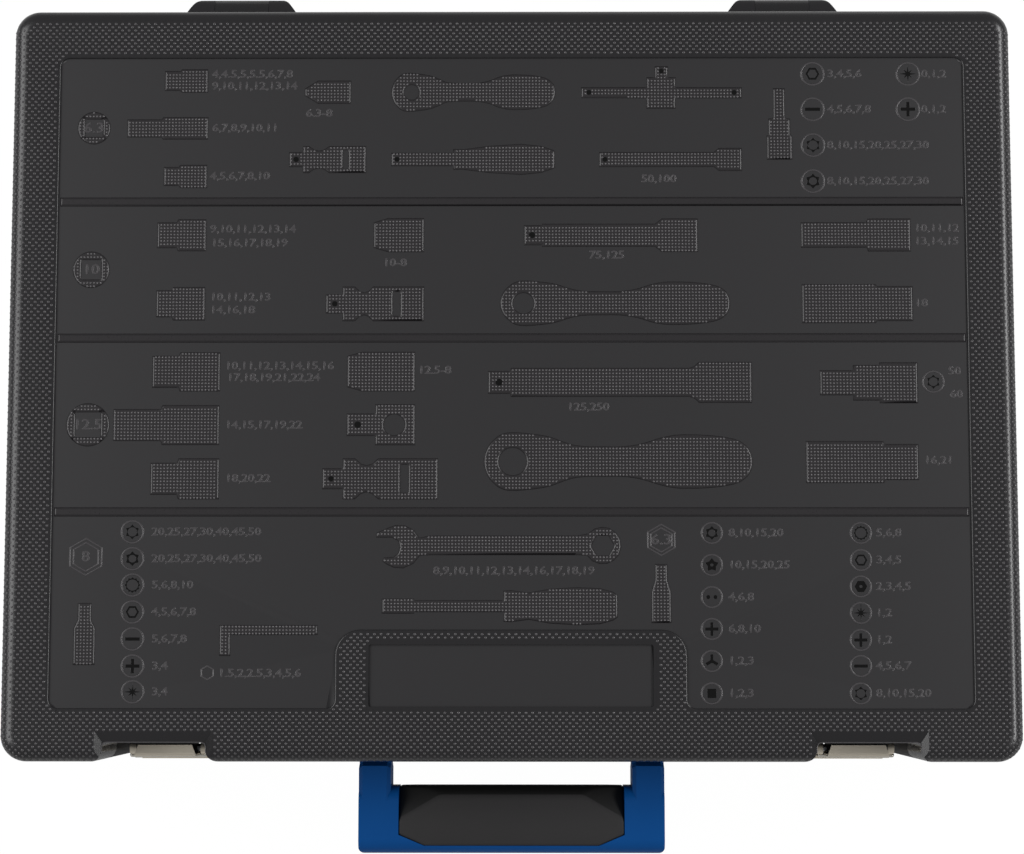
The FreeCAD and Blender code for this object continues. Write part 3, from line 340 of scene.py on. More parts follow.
# The raised pictograms: the lid's own plastic, a little smoother from the engraved mould.
SIGN_PLASTIC = Finish("engraved_lid_plastic", "#211f21", "#262426", 0.3, grain=0.9, grain_height=0.012)
# Painted highlight on the fine knurl of the pictograms: paler still than the border's domes, standing for the light
# they catch.
SIGN_KNURL_HIGHLIGHT = Finish("pictogram_tips_painted_highlight", "#565456", "#605e60", 0.26, roughness_spread=0.04, grain=1.5,
                    grain_height=0.004)
# The thin raised numbers and rings: painted paler than the lid as highlight on their edges, a little darker than the
# pictograms' knurl.
STROKE_HIGHLIGHT_PLASTIC = Finish("raised_strokes_painted_highlight", "#3e3c3e", "#444244", 0.26, grain=1.5, grain_height=0.004)
# The base's moulding: a duller regrind of the same plastic, straight from a blasted mould.
BASE_PLASTIC = Finish("blasted_base_polypropylene", "#272628", "#2b2a2c", 0.52, grain=0.9, specular=0.15)
# Painted shade: near-black sheets on the floors of the sunk drive symbols and in the detent holes, where no light
# reaches.
SHADE_PAINTED_PLASTIC = Finish("painted_shade_in_sunk_marks", "#0d0d0d", "#111111", 0.8, grain=0.9, grain_height=0.01, specular=0.1)
# Tray liners: thin vacuum-formed polystyrene, a soft black with a stipple.
TRAY_PLASTIC = Finish("stippled_tray_polystyrene", "#161617", "#1d1c1e", 0.6, grain=1.2, grain_height=0.05)
# Glass-filled nylon of the handle frame: deep blue with a satin skin that clouds a little.
HANDLE_NYLON = Finish("blue_glass_filled_nylon", "#09427f", "#0b4887", 0.36, grain=0.8, grain_height=0.012, drift=25.0,
                      specular=0.1)
# Soft thermoplastic rubber of the carrying grip: charcoal on its crown, with painted shade that makes its sloping sides
# below the crown near black.
GRIP_RUBBER = Finish("matt_soft_grip_rubber", "#222122", "#292829", 0.68, grain=0.7, grain_height=0.03, specular=0.35,
                     panel_colour="#0b0b0b", panel_roughness=0.6)
# Rubber of the tool handles: a slightly shinier black.
TOOL_RUBBER = Finish("ribbed_tool_grip_rubber", "#151516", "#1b1b1d", 0.55, grain=0.7, grain_height=0.02)
# Nickel-plated spring steel of the latches: warm grey with fine rolling lines along the plate.
LATCH_NICKEL = Finish("rolled_nickel_plate", "#ded6c6", "#e6decf", 0.56, metallic=1.0, grain=0.5, grain_height=0.004,
                      stretch=(0.08, 1.0, 1.0))
# The levers' rolled front edge, worn bright by thumbs.
ROLL_NICKEL = Finish("thumb_polished_nickel", "#d8d3c8", "#e2ded5", 0.16, metallic=1.0, grain=0.5, grain_height=0.002)
# Satin chrome on the tools: bright, with a soft haze from the blasting before plating.
TOOL_CHROME = Finish("satin_chrome_vanadium", "#c9cacc", "#bfc0c4", 0.24, metallic=1.0, grain=0.8, grain_height=0.004)
# Zinc-plated pins: duller and a touch bluer.
PIN_ZINC = Finish("zinc_plated_pin_steel", "#9b9da0", "#8c8e92", 0.38, metallic=1.0, grain=0.5, grain_height=0.006)
# Burnt-black oxide on the keys and the spark plug socket: dark, oily, unevenly glossy.
BLACK_OXIDE = Finish("oiled_black_oxide", "#252527", "#2e2d2f", 0.38, metallic=0.9, grain=0.7, grain_height=0.006)
# Sand-blasted bit steel: dull grey.
BIT_STEEL = Finish("sand_blasted_bit_steel", "#7c7d80", "#6c6d70", 0.48, metallic=1.0, grain=0.5, grain_height=0.01)

NODE_FINISHES: dict[str, Finish] = {
    "base_shell": BASE_PLASTIC, "lid_shell": CASE_PLASTIC, "base_tray": TRAY_PLASTIC, "lid_tray": TRAY_PLASTIC,
    "bit_racks": TRAY_PLASTIC, "handle_frame": HANDLE_NYLON, "hinge_pins": PIN_ZINC, "latch_lever_pins": PIN_ZINC,
    "handle_pins": PIN_ZINC, "latch_hook_pin_left": PIN_ZINC, "latch_hook_pin_right": PIN_ZINC,
    "latch_lever_left": LATCH_NICKEL, "latch_lever_right": LATCH_NICKEL, "latch_hook_left": LATCH_NICKEL,
    "latch_hook_right": LATCH_NICKEL, "hex_keys": BLACK_OXIDE, "spark_plug_socket": BLACK_OXIDE,
    "screwdriver_bits": BIT_STEEL,
}
TOOL_GRIPS = ("ratchet_half_grip", "ratchet_three_eighths_grip", "ratchet_quarter_grip", "spinner_grip")


# ---------------------------------------------------------------- what the lid shows

class Axis(Enum):
    """The way that a turned tool lies on the lid."""

    X = "across"
    Y = "up"


class Drive(Enum):
    """The screw recess that a small round symbol shows."""

    HEXAGON = "hexagon"
    HEXAGON_PIN = "hexagon with a pin"
    EIGHT_RAY = "cross with thin rays"
    SLOT = "slot"
    CROSS = "cross"
    SIX_STAR = "six-lobed star"
    SIX_STAR_PIN = "six-lobed star with a pin"
    FIVE_STAR_PIN = "five-lobed star with a pin"
    SPLINE = "twelve-toothed spline"
    TWO_DOTS = "two holes"
    THREE_WING = "three wings"
    SQUARE = "square"


@dataclass(frozen=True)
class Cut:
    """An opening in a pictogram: a rectangle where it has four sides, a round or hexagon otherwise."""

    x: float
    y: float
    width: float
    height: float
    sides: int

    def outline(self) -> list[Point]:
        """Gives the opening's corners.

        Returns:
            Points in order round the opening.
        """
        if self.sides == 4:
            return box_outline(self.x, self.y, self.width / 2, self.height / 2)
        return round_outline(self.x, self.y, self.width / 2, self.sides)


@dataclass(frozen=True)
class TurnedSign:
    """A pictogram of a turned tool, from its half-widths at places along its axis."""

    name: str
    axis: Axis
    middle: float
    stations: tuple[Point, ...]
    rounded: bool = False
    cuts: tuple[Cut, ...] = ()

    def outline(self) -> list[Point]:
        """Gives the outline's corners, one side there and the other side back.

        Returns:
            Points in order round the shape, without doubles at the tips.
        """
        there = list(self.stations)
        back = [(place, -half) for place, half in reversed(self.stations) if half > 0]
        if self.axis is Axis.X:
            return [(place, self.middle + half) for place, half in there + back]
        return [(self.middle + half, place) for place, half in there + back]


@dataclass(frozen=True)
class DrawnSign:
    """A pictogram from its drawn outline."""

    name: str
    points: tuple[Point, ...]
    cuts: tuple[Cut, ...] = ()
    rounded: bool = False

    def outline(self) -> list[Point]:
        """Gives the drawn outline."""
        return list(self.points)


Sign = TurnedSign | DrawnSign


@dataclass(frozen=True)
class DriveBadge:
    """A raised badge with a drive size in it."""

    x: float
    y: float
    radius: float
    inner: float
    number: str


@dataclass(frozen=True)
class DriveRing:
    """A thin round ring with a sunk drive symbol."""

    x: float
    y: float
    radius: float
    drive: Drive


@dataclass(frozen=True)
class SizeLabel:
    """A line of plain size numbers that starts at x and is centred on y."""

    x: float
    y: float
    numbers: str


def box_outline(x: float, y: float, half_x: float, half_y: float) -> list[Point]:
    """Gives the corners of a rectangle round its centre."""
    return [(x - half_x, y - half_y), (x + half_x, y - half_y), (x + half_x, y + half_y), (x - half_x, y + half_y)]


def bend_outline(x: float, y: float, radius: float, start: float, end: float, parts: int = 8) -> list[Point]:
    """Gives the points of an arc.

    Args:
        x: its centre.
        y: its centre.
        radius: its radius.
        start: its first angle in degrees.
        end: its last angle in degrees.
        parts: the number of straight steps.

    Returns:
        The points in order.
    """
    angles = [math.radians(start + (end - start) * i / parts) for i in range(parts + 1)]
    return [(x + radius * math.cos(a), y + radius * math.sin(a)) for a in angles]


def rounded_box(half: float, low: float, high: float, corner: float, inset: float) -> list[Point]:
    """Gives a rectangle with rounded corners that lies evenly about x = 0.

    Args:
        half: half its width.
        low: its lowest y.
        high: its highest y.
        corner: its corners' radius.
        inset: how far the line lies inside the rectangle.

    Returns:
        The points in order.
    """
    right, top, bottom, radius = half - corner, high - corner, low + corner, corner - inset
    bends = [(right, bottom, 270), (right, top, 0), (-right, top, 90), (-right, bottom, 180)]
    return [spot for x, y, start in bends for spot in bend_outline(x, y, radius, start, start + 90)]


def star_outline(x: float, y: float, radii: list[float], turn: float = 0.0) -> list[Point]:
    """Gives an outline whose corners lie at the given radii, evenly turned.

    Args:
        x: its centre.
        y: its centre.
        radii: the radius of each corner in turn.
        turn: the first corner's angle in degrees.

    Returns:
        The corners in order.
    """
    step = 2 * math.pi / len(radii)
    return [(x + r * math.cos(math.radians(turn) + i * step), y + r * math.sin(math.radians(turn) + i * step))
            for i, r in enumerate(radii)]


def round_outline(x: float, y: float, radius: float, sides: int, turn: float = 0.0) -> list[Point]:
    """Gives a regular outline from its centre, its radius to the corners and its first corner's angle in degrees."""
    return star_outline(x, y, [radius] * sides, turn)


def arms_outline(x: float, y: float, arms: int, reach: float, half: float, turn: float = 90.0) -> list[Point]:
    """Gives a cross of straight arms.

    Args:
        x: its centre.
        y: its centre.
        arms: how many arms.
        reach: from the centre to an arm's end.
        half: half an arm's width.
        turn: the first arm's angle in degrees.

    Returns:
        The corners in order.
    """
    corners: list[Point] = []
    crotch = half / math.sin(math.pi / arms)
    for i in range(arms):
        angle = math.radians(turn) + 2 * math.pi * i / arms
        along, across = (math.cos(angle), math.sin(angle)), (-math.sin(angle), math.cos(angle))
        corners.append((x + reach * along[0] - half * across[0], y + reach * along[1] - half * across[1]))
        corners.append((x + reach * along[0] + half * across[0], y + reach * along[1] + half * across[1]))
        middle = angle + math.pi / arms
        corners.append((x + crotch * math.cos(middle), y + crotch * math.sin(middle)))
    return corners


QUARTER_SIGNS: tuple[Sign, ...] = (
    TurnedSign("socket", Axis.X, 119.0, ((-137.1, 4.02), (-130.9, 4.02), (-130.3, 4.7), (-120.0, 4.7))),
    TurnedSign("deep socket", Axis.X, 99.9, ((-151.7, 3.62), (-138.1, 3.62), (-137.5, 4.52), (-119.7, 4.52))),
    TurnedSign("star socket", Axis.X, 80.6, ((-137.0, 3.8), (-131.1, 3.8), (-130.5, 4.64), (-119.9, 4.64))),
    TurnedSign("bit adapter", Axis.X, 114.4, ((-81.7, 1.41), (-76.4, 4.68), (-63.3, 4.68))),
    TurnedSign("universal joint", Axis.X, 87.3,
        ((-87.6, 3.01), (-82.1, 3.01), (-82.1, 5.41), (-79.7, 5.41), (-77.7, 4.0), (-75.8, 3.57), (-73.8, 4.0),
        (-71.8, 5.41), (-57.2, 5.41)),
        cuts=(Cut(-84.8, 87.3, 2.06, 2.08, 12), Cut(-65.3, 87.3, 1.98, 7.22, 4))),
    TurnedSign("ratchet", Axis.X, 114.3,
        ((-47.4, 0.0), (-46.6, 3.6), (-45.2, 5.63), (-42.9, 7.43), (-40.6, 7.82), (-36.9, 7.56), (-33.2, 7.04),
        (-30.9, 6.41), (-28.6, 5.47), (-25.8, 4.22), (-23.0, 3.83), (-18.4, 3.75), (-13.8, 3.79), (-11.1, 4.14),
        (-8.3, 4.85), (-4.6, 6.29), (-0.9, 7.05), (2.4, 7.15), (7.0, 6.95), (11.6, 6.29), (13.9, 5.59), (15.7, 4.34),
        (16.9, 2.7), (17.5, 0.0)),
        rounded=True, cuts=(Cut(-39.4, 114.3, 5.94, 6.04, 24),)),
    TurnedSign("spinner", Axis.X, 87.3,
        ((-47.4, 2.67), (-22.9, 2.66), (-22.9, 4.21), (-19.0, 4.09), (-8.4, 5.45), (3.9, 6.21), (11.7, 5.41),
        (16.5, 3.81), (17.2, 3.2)),
        cuts=(Cut(-45.0, 87.3, 1.9, 1.92, 12),)),
    DrawnSign("sliding bar",
        ((27.6, 116.3), (53.5, 116.3), (53.5, 120.3), (56.7, 120.3), (56.7, 124.7), (62.0, 124.7), (62.0, 120.3),
        (65.0, 120.3), (65.0, 116.3), (91.1, 116.2), (91.1, 111.8), (64.9, 111.8), (64.9, 107.6), (53.4, 107.6),
        (53.5, 111.8), (27.6, 111.9)),
        cuts=(Cut(30.7, 114.1, 1.9, 1.94, 12), Cut(88.0, 114.0, 1.9, 1.94, 12), Cut(59.3, 122.7, 1.9, 1.94, 12))),
    TurnedSign("extension bar", Axis.X, 87.2,
        ((34.6, 3.0), (79.8, 3.0), (81.8, 4.62), (90.9, 4.62)),
        cuts=(Cut(36.9, 87.2, 1.9, 1.92, 12),)),
    TurnedSign("bit socket", Axis.Y, 105.7,
        ((115.8, 2.37), (103.9, 2.36), (103.5, 4.34), (97.1, 4.33), (96.7, 5.02), (87.1, 5.02))),
)
THREE_EIGHTHS_SIGNS: tuple[Sign, ...] = (
    TurnedSign("socket", Axis.X, 57.1, ((-139.2, 5.14), (-131.5, 5.14), (-131.0, 6.37), (-119.9, 6.37))),
    TurnedSign("star socket", Axis.X, 29.9, ((-139.2, 5.35), (-133.1, 5.35), (-132.5, 6.63), (-120.0, 6.63))),
    TurnedSign("bit adapter", Axis.X, 57.1, ((-54.1, 4.98), (-53.1, 5.37), (-48.4, 6.77), (-34.2, 6.77))),
    TurnedSign("universal joint", Axis.X, 29.8,
        ((-72.7, 3.76), (-66.1, 3.76), (-66.1, 6.87), (-61.2, 6.87), (-59.4, 5.08), (-57.6, 4.53), (-55.9, 5.08),
        (-54.1, 6.87), (-34.1, 6.87)),
        cuts=(Cut(-69.1, 29.8, 2.04, 2.06, 12), Cut(-44.9, 29.8, 2.74, 9.5, 4))),
    TurnedSign("extension bar", Axis.X, 57.0,
        ((5.0, 3.98), (12.1, 3.98), (12.1, 4.58), (56.4, 4.57), (59.2, 6.66), (73.3, 6.66)),
        cuts=(Cut(8.2, 57.0, 2.36, 2.38, 12),)),
    TurnedSign("ratchet", Axis.X, 30.0,
        ((-4.4, 0.0), (-3.2, 4.13), (-1.3, 6.47), (1.9, 8.53), (5.1, 8.98), (10.2, 8.68), (15.3, 8.08), (18.6, 7.36),
        (21.7, 6.29), (25.6, 5.3), (29.5, 4.85), (35.9, 4.76), (42.3, 4.8), (46.1, 5.21), (50.0, 6.01), (55.1, 7.59),
        (60.2, 8.46), (64.7, 8.57), (71.1, 8.34), (77.5, 7.58), (80.8, 6.78), (83.3, 5.34), (84.9, 3.46),
        (85.7, 0.0)),
        rounded=True, cuts=(Cut(4.8, 30.0, 8.14, 8.22, 24),)),
    TurnedSign("deep socket", Axis.X, 57.0, ((113.7, 5.07), (139.4, 5.07), (140.0, 6.56), (156.8, 6.56))),
    TurnedSign("spark plug socket", Axis.X, 29.8, ((113.8, 7.71), (142.7, 7.71), (143.1, 6.92), (157.2, 6.92))),
)
HALF_SIGNS: tuple[Sign, ...] = (
    TurnedSign("socket", Axis.X, 3.0, ((-140.3, 6.3), (-130.0, 6.3), (-129.4, 7.68), (-113.7, 7.67))),
    TurnedSign("deep socket", Axis.X, -17.9, ((-155.2, 6.27), (-136.7, 6.27), (-136.1, 7.84), (-113.8, 7.83))),
    TurnedSign("star socket", Axis.X, -38.9, ((-140.4, 6.24), (-130.1, 6.24), (-129.5, 7.99), (-113.6, 7.99))),
    TurnedSign("bit adapter", Axis.X, 3.1, ((-64.1, 6.1), (-63.3, 6.37), (-58.2, 7.77), (-37.5, 7.77))),
    TurnedSign("step adapter", Axis.X, -17.8,
        ((-64.1, 4.41), (-53.0, 4.41), (-53.0, 8.03), (-37.4, 8.03)),
        cuts=(Cut(-59.8, -17.8, 2.5, 2.5, 12), Cut(-45.6, -17.8, 8.26, 8.3, 24))),
    TurnedSign("universal joint", Axis.X, -38.9,
        ((-73.5, 4.09), (-65.5, 4.09), (-65.5, 7.99), (-60.7, 7.99), (-58.4, 5.91), (-56.2, 5.27), (-54.0, 5.91),
        (-51.7, 7.99), (-28.4, 7.99)),
        cuts=(Cut(-70.0, -38.9, 2.02, 2.02, 12), Cut(-41.6, -38.9, 3.1, 10.92, 4))),
    TurnedSign("extension bar", Axis.X, -1.2,
        ((-9.0, 4.48), (-0.2, 4.48), (-0.2, 5.7), (69.6, 5.69), (71.3, 6.28), (73.3, 8.05), (93.9, 8.05)),
        cuts=(Cut(-4.7, -1.2, 2.66, 2.68, 12),)),
    TurnedSign("ratchet", Axis.X, -32.2,
        ((-10.6, 0.0), (-9.3, 5.26), (-7.1, 8.23), (-3.3, 10.86), (0.4, 11.43), (6.3, 11.06), (12.3, 10.29),
        (16.1, 9.37), (19.7, 8.0), (24.2, 6.58), (28.7, 6.01), (36.1, 5.9), (43.5, 5.95), (47.9, 6.47), (52.4, 7.5),
        (58.4, 9.35), (64.3, 10.46), (69.6, 10.6), (77.0, 10.31), (84.4, 9.35), (88.2, 8.32), (91.1, 6.49),
        (93.0, 4.09), (93.9, 0.0)),
        rounded=True, cuts=(Cut(0.6, -32.2, 10.74, 10.76, 24),)),
    TurnedSign("bit socket", Axis.X, -1.4,
        ((120.4, 4.91), (133.3, 4.91), (133.3, 6.99), (143.6, 6.99), (143.6, 8.05), (158.6, 8.05))),
    TurnedSign("spark plug socket", Axis.X, -32.4, ((114.6, 8.19), (144.8, 8.19), (145.2, 7.02), (158.4, 7.02))),
)
BIT_SIGNS: tuple[Sign, ...] = (
    TurnedSign("large bit", Axis.Y, -165.0, ((-87.1, 2.67), (-93.7, 2.67), (-96.8, 4.26), (-111.0, 4.25))),
    DrawnSign("hexagon key",
        ((-112.8, -95.6), (-74.8, -95.6), (-74.7, -99.4), (-108.5, -99.4), (-108.4, -107.5), (-112.7, -107.5))),
    DrawnSign("combination wrench",
        ((29.3, -68.7), (31.4, -70.9), (34.2, -72.0), (37.2, -71.9), (39.9, -70.6), (41.9, -68.3), (42.7, -65.4),
        (42.3, -62.4), (40.7, -59.8), (38.2, -58.1), (35.2, -57.6), (32.3, -58.3), (29.9, -60.2), (25.5, -61.0),
        (-31.4, -61.0), (-35.5, -61.8), (-37.8, -58.8), (-41.1, -57.1), (-44.8, -56.9), (-47.3, -57.8),
        (-52.4, -60.0), (-52.2, -61.8), (-46.2, -61.8), (-43.8, -63.1), (-43.2, -65.5), (-43.8, -67.8),
        (-45.7, -69.3), (-49.2, -69.5), (-50.0, -70.9), (-48.2, -72.2), (-45.4, -73.5), (-41.7, -73.7),
        (-37.7, -71.8), (-35.4, -68.8), (-31.4, -68.6), (25.5, -68.6)),
        cuts=(Cut(35.5, -64.9, 8.9, 8.9, 6),)),
    TurnedSign("screwdriver", Axis.X, -88.3,
        ((-50.0, 2.89), (-37.5, 2.89), (-37.5, 2.31), (-2.9, 2.31), (-2.9, 5.97), (-0.0, 6.17), (6.9, 5.24),
        (15.0, 6.7), (25.5, 7.32), (34.4, 6.93), (39.4, 5.59), (41.3, 4.24))),
    TurnedSign("small bit", Axis.Y, 58.1, ((-72.0, 2.44), (-78.2, 2.44), (-82.8, 3.86), (-94.8, 3.86))),
)
DRIVE_BADGES: tuple[DriveBadge, ...] = tuple(DriveBadge(*row) for row in (
    (-164.8, 100.0, 6.56, 3.48, "6.3"), (-164.9, 43.4, 7.27, 3.85, "10"), (-165.1, -17.8, 8.51, 4.88, "12.5"),
))
HEXAGON_BADGES: tuple[DriveBadge, ...] = tuple(DriveBadge(*row) for row in (
    (-164.9, -69.3, 7.53, 5.98, "8"), (58.2, -62.7, 6.43, 5.11, "6.3"), (-117.2, -114.0, 3.05, 2.39, ""),
))
DRIVE_RINGS: tuple[DriveRing, ...] = tuple(DriveRing(*row) for row in (
    (119.0, 121.6, 4.9, Drive.HEXAGON), (156.7, 121.5, 4.89, Drive.EIGHT_RAY), (118.9, 107.3, 4.89, Drive.SLOT),
    (156.5, 107.3, 4.89, Drive.CROSS), (118.9, 92.9, 4.88, Drive.SIX_STAR), (118.7, 78.5, 4.87, Drive.SIX_STAR_PIN),
    (164.6, -1.0, 4.48, Drive.SIX_STAR), (-147.0, -59.6, 4.66, Drive.SIX_STAR),
    (-146.8, -70.0, 4.66, Drive.SIX_STAR_PIN), (-146.6, -80.2, 4.65, Drive.SPLINE),
    (-146.5, -90.6, 4.64, Drive.HEXAGON), (-146.3, -101.0, 4.64, Drive.SLOT), (-146.1, -111.4, 4.63, Drive.CROSS),
    (-145.9, -121.3, 4.63, Drive.EIGHT_RAY), (77.8, -60.0, 4.38, Drive.SIX_STAR_PIN),
    (77.7, -72.4, 4.37, Drive.FIVE_STAR_PIN), (77.6, -84.8, 4.36, Drive.TWO_DOTS), (77.5, -97.1, 4.36, Drive.CROSS),
    (77.4, -109.4, 4.35, Drive.THREE_WING), (77.3, -121.8, 4.35, Drive.SQUARE), (135.5, -60.0, 4.37, Drive.SPLINE),
    (135.4, -70.5, 4.37, Drive.HEXAGON), (135.2, -80.7, 4.36, Drive.HEXAGON_PIN),
    (135.1, -90.9, 4.36, Drive.EIGHT_RAY), (134.9, -101.3, 4.35, Drive.CROSS), (134.8, -111.3, 4.35, Drive.SLOT),
    (134.6, -121.8, 4.34, Drive.SIX_STAR),
))
SIZE_LABELS: tuple[SizeLabel, ...] = tuple(SizeLabel(*row) for row in (
    (-118.4, 121.7, "4,4.5,5,5.5,6,7,8"), (-118.4, 116.9, "9,10,11,12,13,14"), (-118.1, 100.0, "6,7,8,9,10,11"),
    (-118.7, 80.7, "4,5,6,7,8,10"), (-81.1, 105.9, "6.3-8"), (51.1, 79.5, "50,100"), (124.8, 121.6, "3,4,5,6"),
    (161.9, 121.5, "0,1,2"), (124.6, 107.3, "4,5,6,7,8"), (161.6, 107.3, "0,1,2"),
    (124.4, 92.9, "8,10,15,20,25,27,30"), (124.2, 78.5, "8,10,15,20,25,27,30"), (-118.4, 59.5, "9,10,11,12,13,14"),
    (-117.9, 54.0, "15,16,17,18,19"), (-118.0, 32.5, "10,11,12,13"), (-118.0, 27.4, "14,16,18"),
    (-50.3, 46.1, "10-8"), (30.5, 49.1, "75,125"), (158.1, 59.7, "10,11,12"), (158.0, 54.5, "13,14,15"),
    (157.9, 30.0, "18"), (-111.8, 5.3, "10,11,12,13,14,15,16"), (-111.0, 0.7, "17,18,19,21,22,24"),
    (-111.5, -17.9, "14,15,17,19,22"), (-111.2, -38.8, "18,20,22"), (-36.4, 3.6, "12.5-8"), (21.8, -10.9, "125,250"),
    (170.3, 3.2, "50"), (170.9, -5.9, "60"), (160.4, -31.8, "16,21"), (-139.6, -59.6, "20,25,27,30,40,45,50"),
    (-139.4, -70.0, "20,25,27,30,40,45,50"), (-139.2, -80.2, "5,6,8,10"), (-139.1, -90.6, "4,5,6,7,8"),
    (-138.9, -101.0, "5,6,7,8"), (-138.7, -111.4, "3,4"), (-138.6, -121.3, "3,4"),
    (-113.0, -114.2, "1.5,2,2.5,3,4,5,6"), (-30.2, -74.7, "8,9,10,11,12,13,14,16,17,18,19"),
    (84.2, -60.0, "8,10,15,20"), (84.1, -72.4, "10,15,20,25"), (84.0, -84.8, "4,6,8"), (83.9, -97.1, "6,8,10"),
    (83.8, -109.4, "1,2,3"), (83.7, -121.8, "1,2,3"), (141.3, -60.0, "5,6,8"), (141.2, -70.5, "3,4,5"),
    (141.0, -80.7, "2,3,4,5"), (140.8, -90.9, "1,2"), (140.7, -101.3, "1,2"), (140.5, -111.3, "4,5,6,7"),
    (140.4, -121.8, "8,10,15,20"),
))


ALL_SIGNS = QUARTER_SIGNS + THREE_EIGHTHS_SIGNS + HALF_SIGNS + BIT_SIGNS


# ---------------------------------------------------------------- the lid

def sharp(*outlines: list[Point]) -> list[Shape]:
    """Marks outlines as straight between their corners."""
    return [(outline, False) for outline in outlines]


@dataclass
class FlatPlates:
    """Flat shapes that stand on the lid's panel: filled curves with a sloping edge, made into one mesh.

    The lower half of each plate lies hidden in the panel.
    """

    floor: float
    slope: float
    steps: int = 0
    straight: float = 0.04
    ease: float = 1.15
    ease_limit: float = 2.5
    hair: float = 0.003
    sliver: float = 0.002
    smoothness: int = 5

    def build(self, outlines: list[Shape], height: float) -> bpy.types.Object:
        """Fills outlines, with the inner ones left open, and gives them their height.

        Args:
            outlines: each shape's corners, and whether its line runs smoothly through them.
            height: how far the plates stand above the panel, in mm.

        Returns:
            A settled mesh object.
        """
        bpy.ops.curve.primitive_bezier_circle_add(radius=MM, location=(0, 0, 0))
        obj = bpy.context.object
        curve = obj.data
        curve.splines.clear()
        curve.dimensions = "2D"
        curve.fill_mode = "BOTH"
        curve.resolution_u = self.smoothness
        for corners, rounded in outlines:
            corners = corners if rounded else self.eased(corners)
            spline = curve.splines.new("BEZIER")
            spline.bezier_points.add(len(corners) - 1)
            for knot, (x, y) in zip(spline.bezier_points, corners):
                knot.co = (x * MM, y * MM, 0)
                knot.handle_left_type = knot.handle_right_type = "AUTO" if rounded else "VECTOR"
            spline.use_cyclic_u = True
            spline.resolution_u = self.smoothness if rounded else 1
        curve.extrude = self.straight * MM
        curve.bevel_depth = self.slope * MM
        curve.bevel_resolution = self.steps
        curve.offset = -self.slope * MM
        only(obj)
        bpy.ops.object.convert(target="MESH")
        obj = bpy.context.object
        obj.scale = (1, 1, height / (self.straight + self.slope))
        obj.location = (0, 0, self.floor * MM)
        settle(obj)
        with editing():
            bpy.ops.mesh.remove_doubles(threshold=self.sliver * MM)
            bpy.ops.mesh.dissolve_degenerate(threshold=self.sliver * MM)
        tidy_mesh(obj)
        return obj

    def eased(self, corners: list[Point]) -> list[Point]:
        """Adds a point beside each corner of long straight edges, so that the slope keeps its width between them.

        The added points lie a hair to the right, because the fill takes a shape's turning sense from its leftmost
        point, which has to be a corner.

        Args:
            corners: a shape's corners.

        Returns:
            The corners with the added points.
        """
        near = self.ease * self.slope
        eased: list[Point] = []
        for (x0, y0), (x1, y1) in zip(corners, corners[1:] + corners[:1]):
            eased.append((x0, y0))
            length = math.hypot(x1 - x0, y1 - y0)
            if length > self.ease_limit * near:
                for share in (near / length, 1 - near / length):
                    eased.append((x0 + (x1 - x0) * share + self.hair, y0 + (y1 - y0) * share))
        return eased


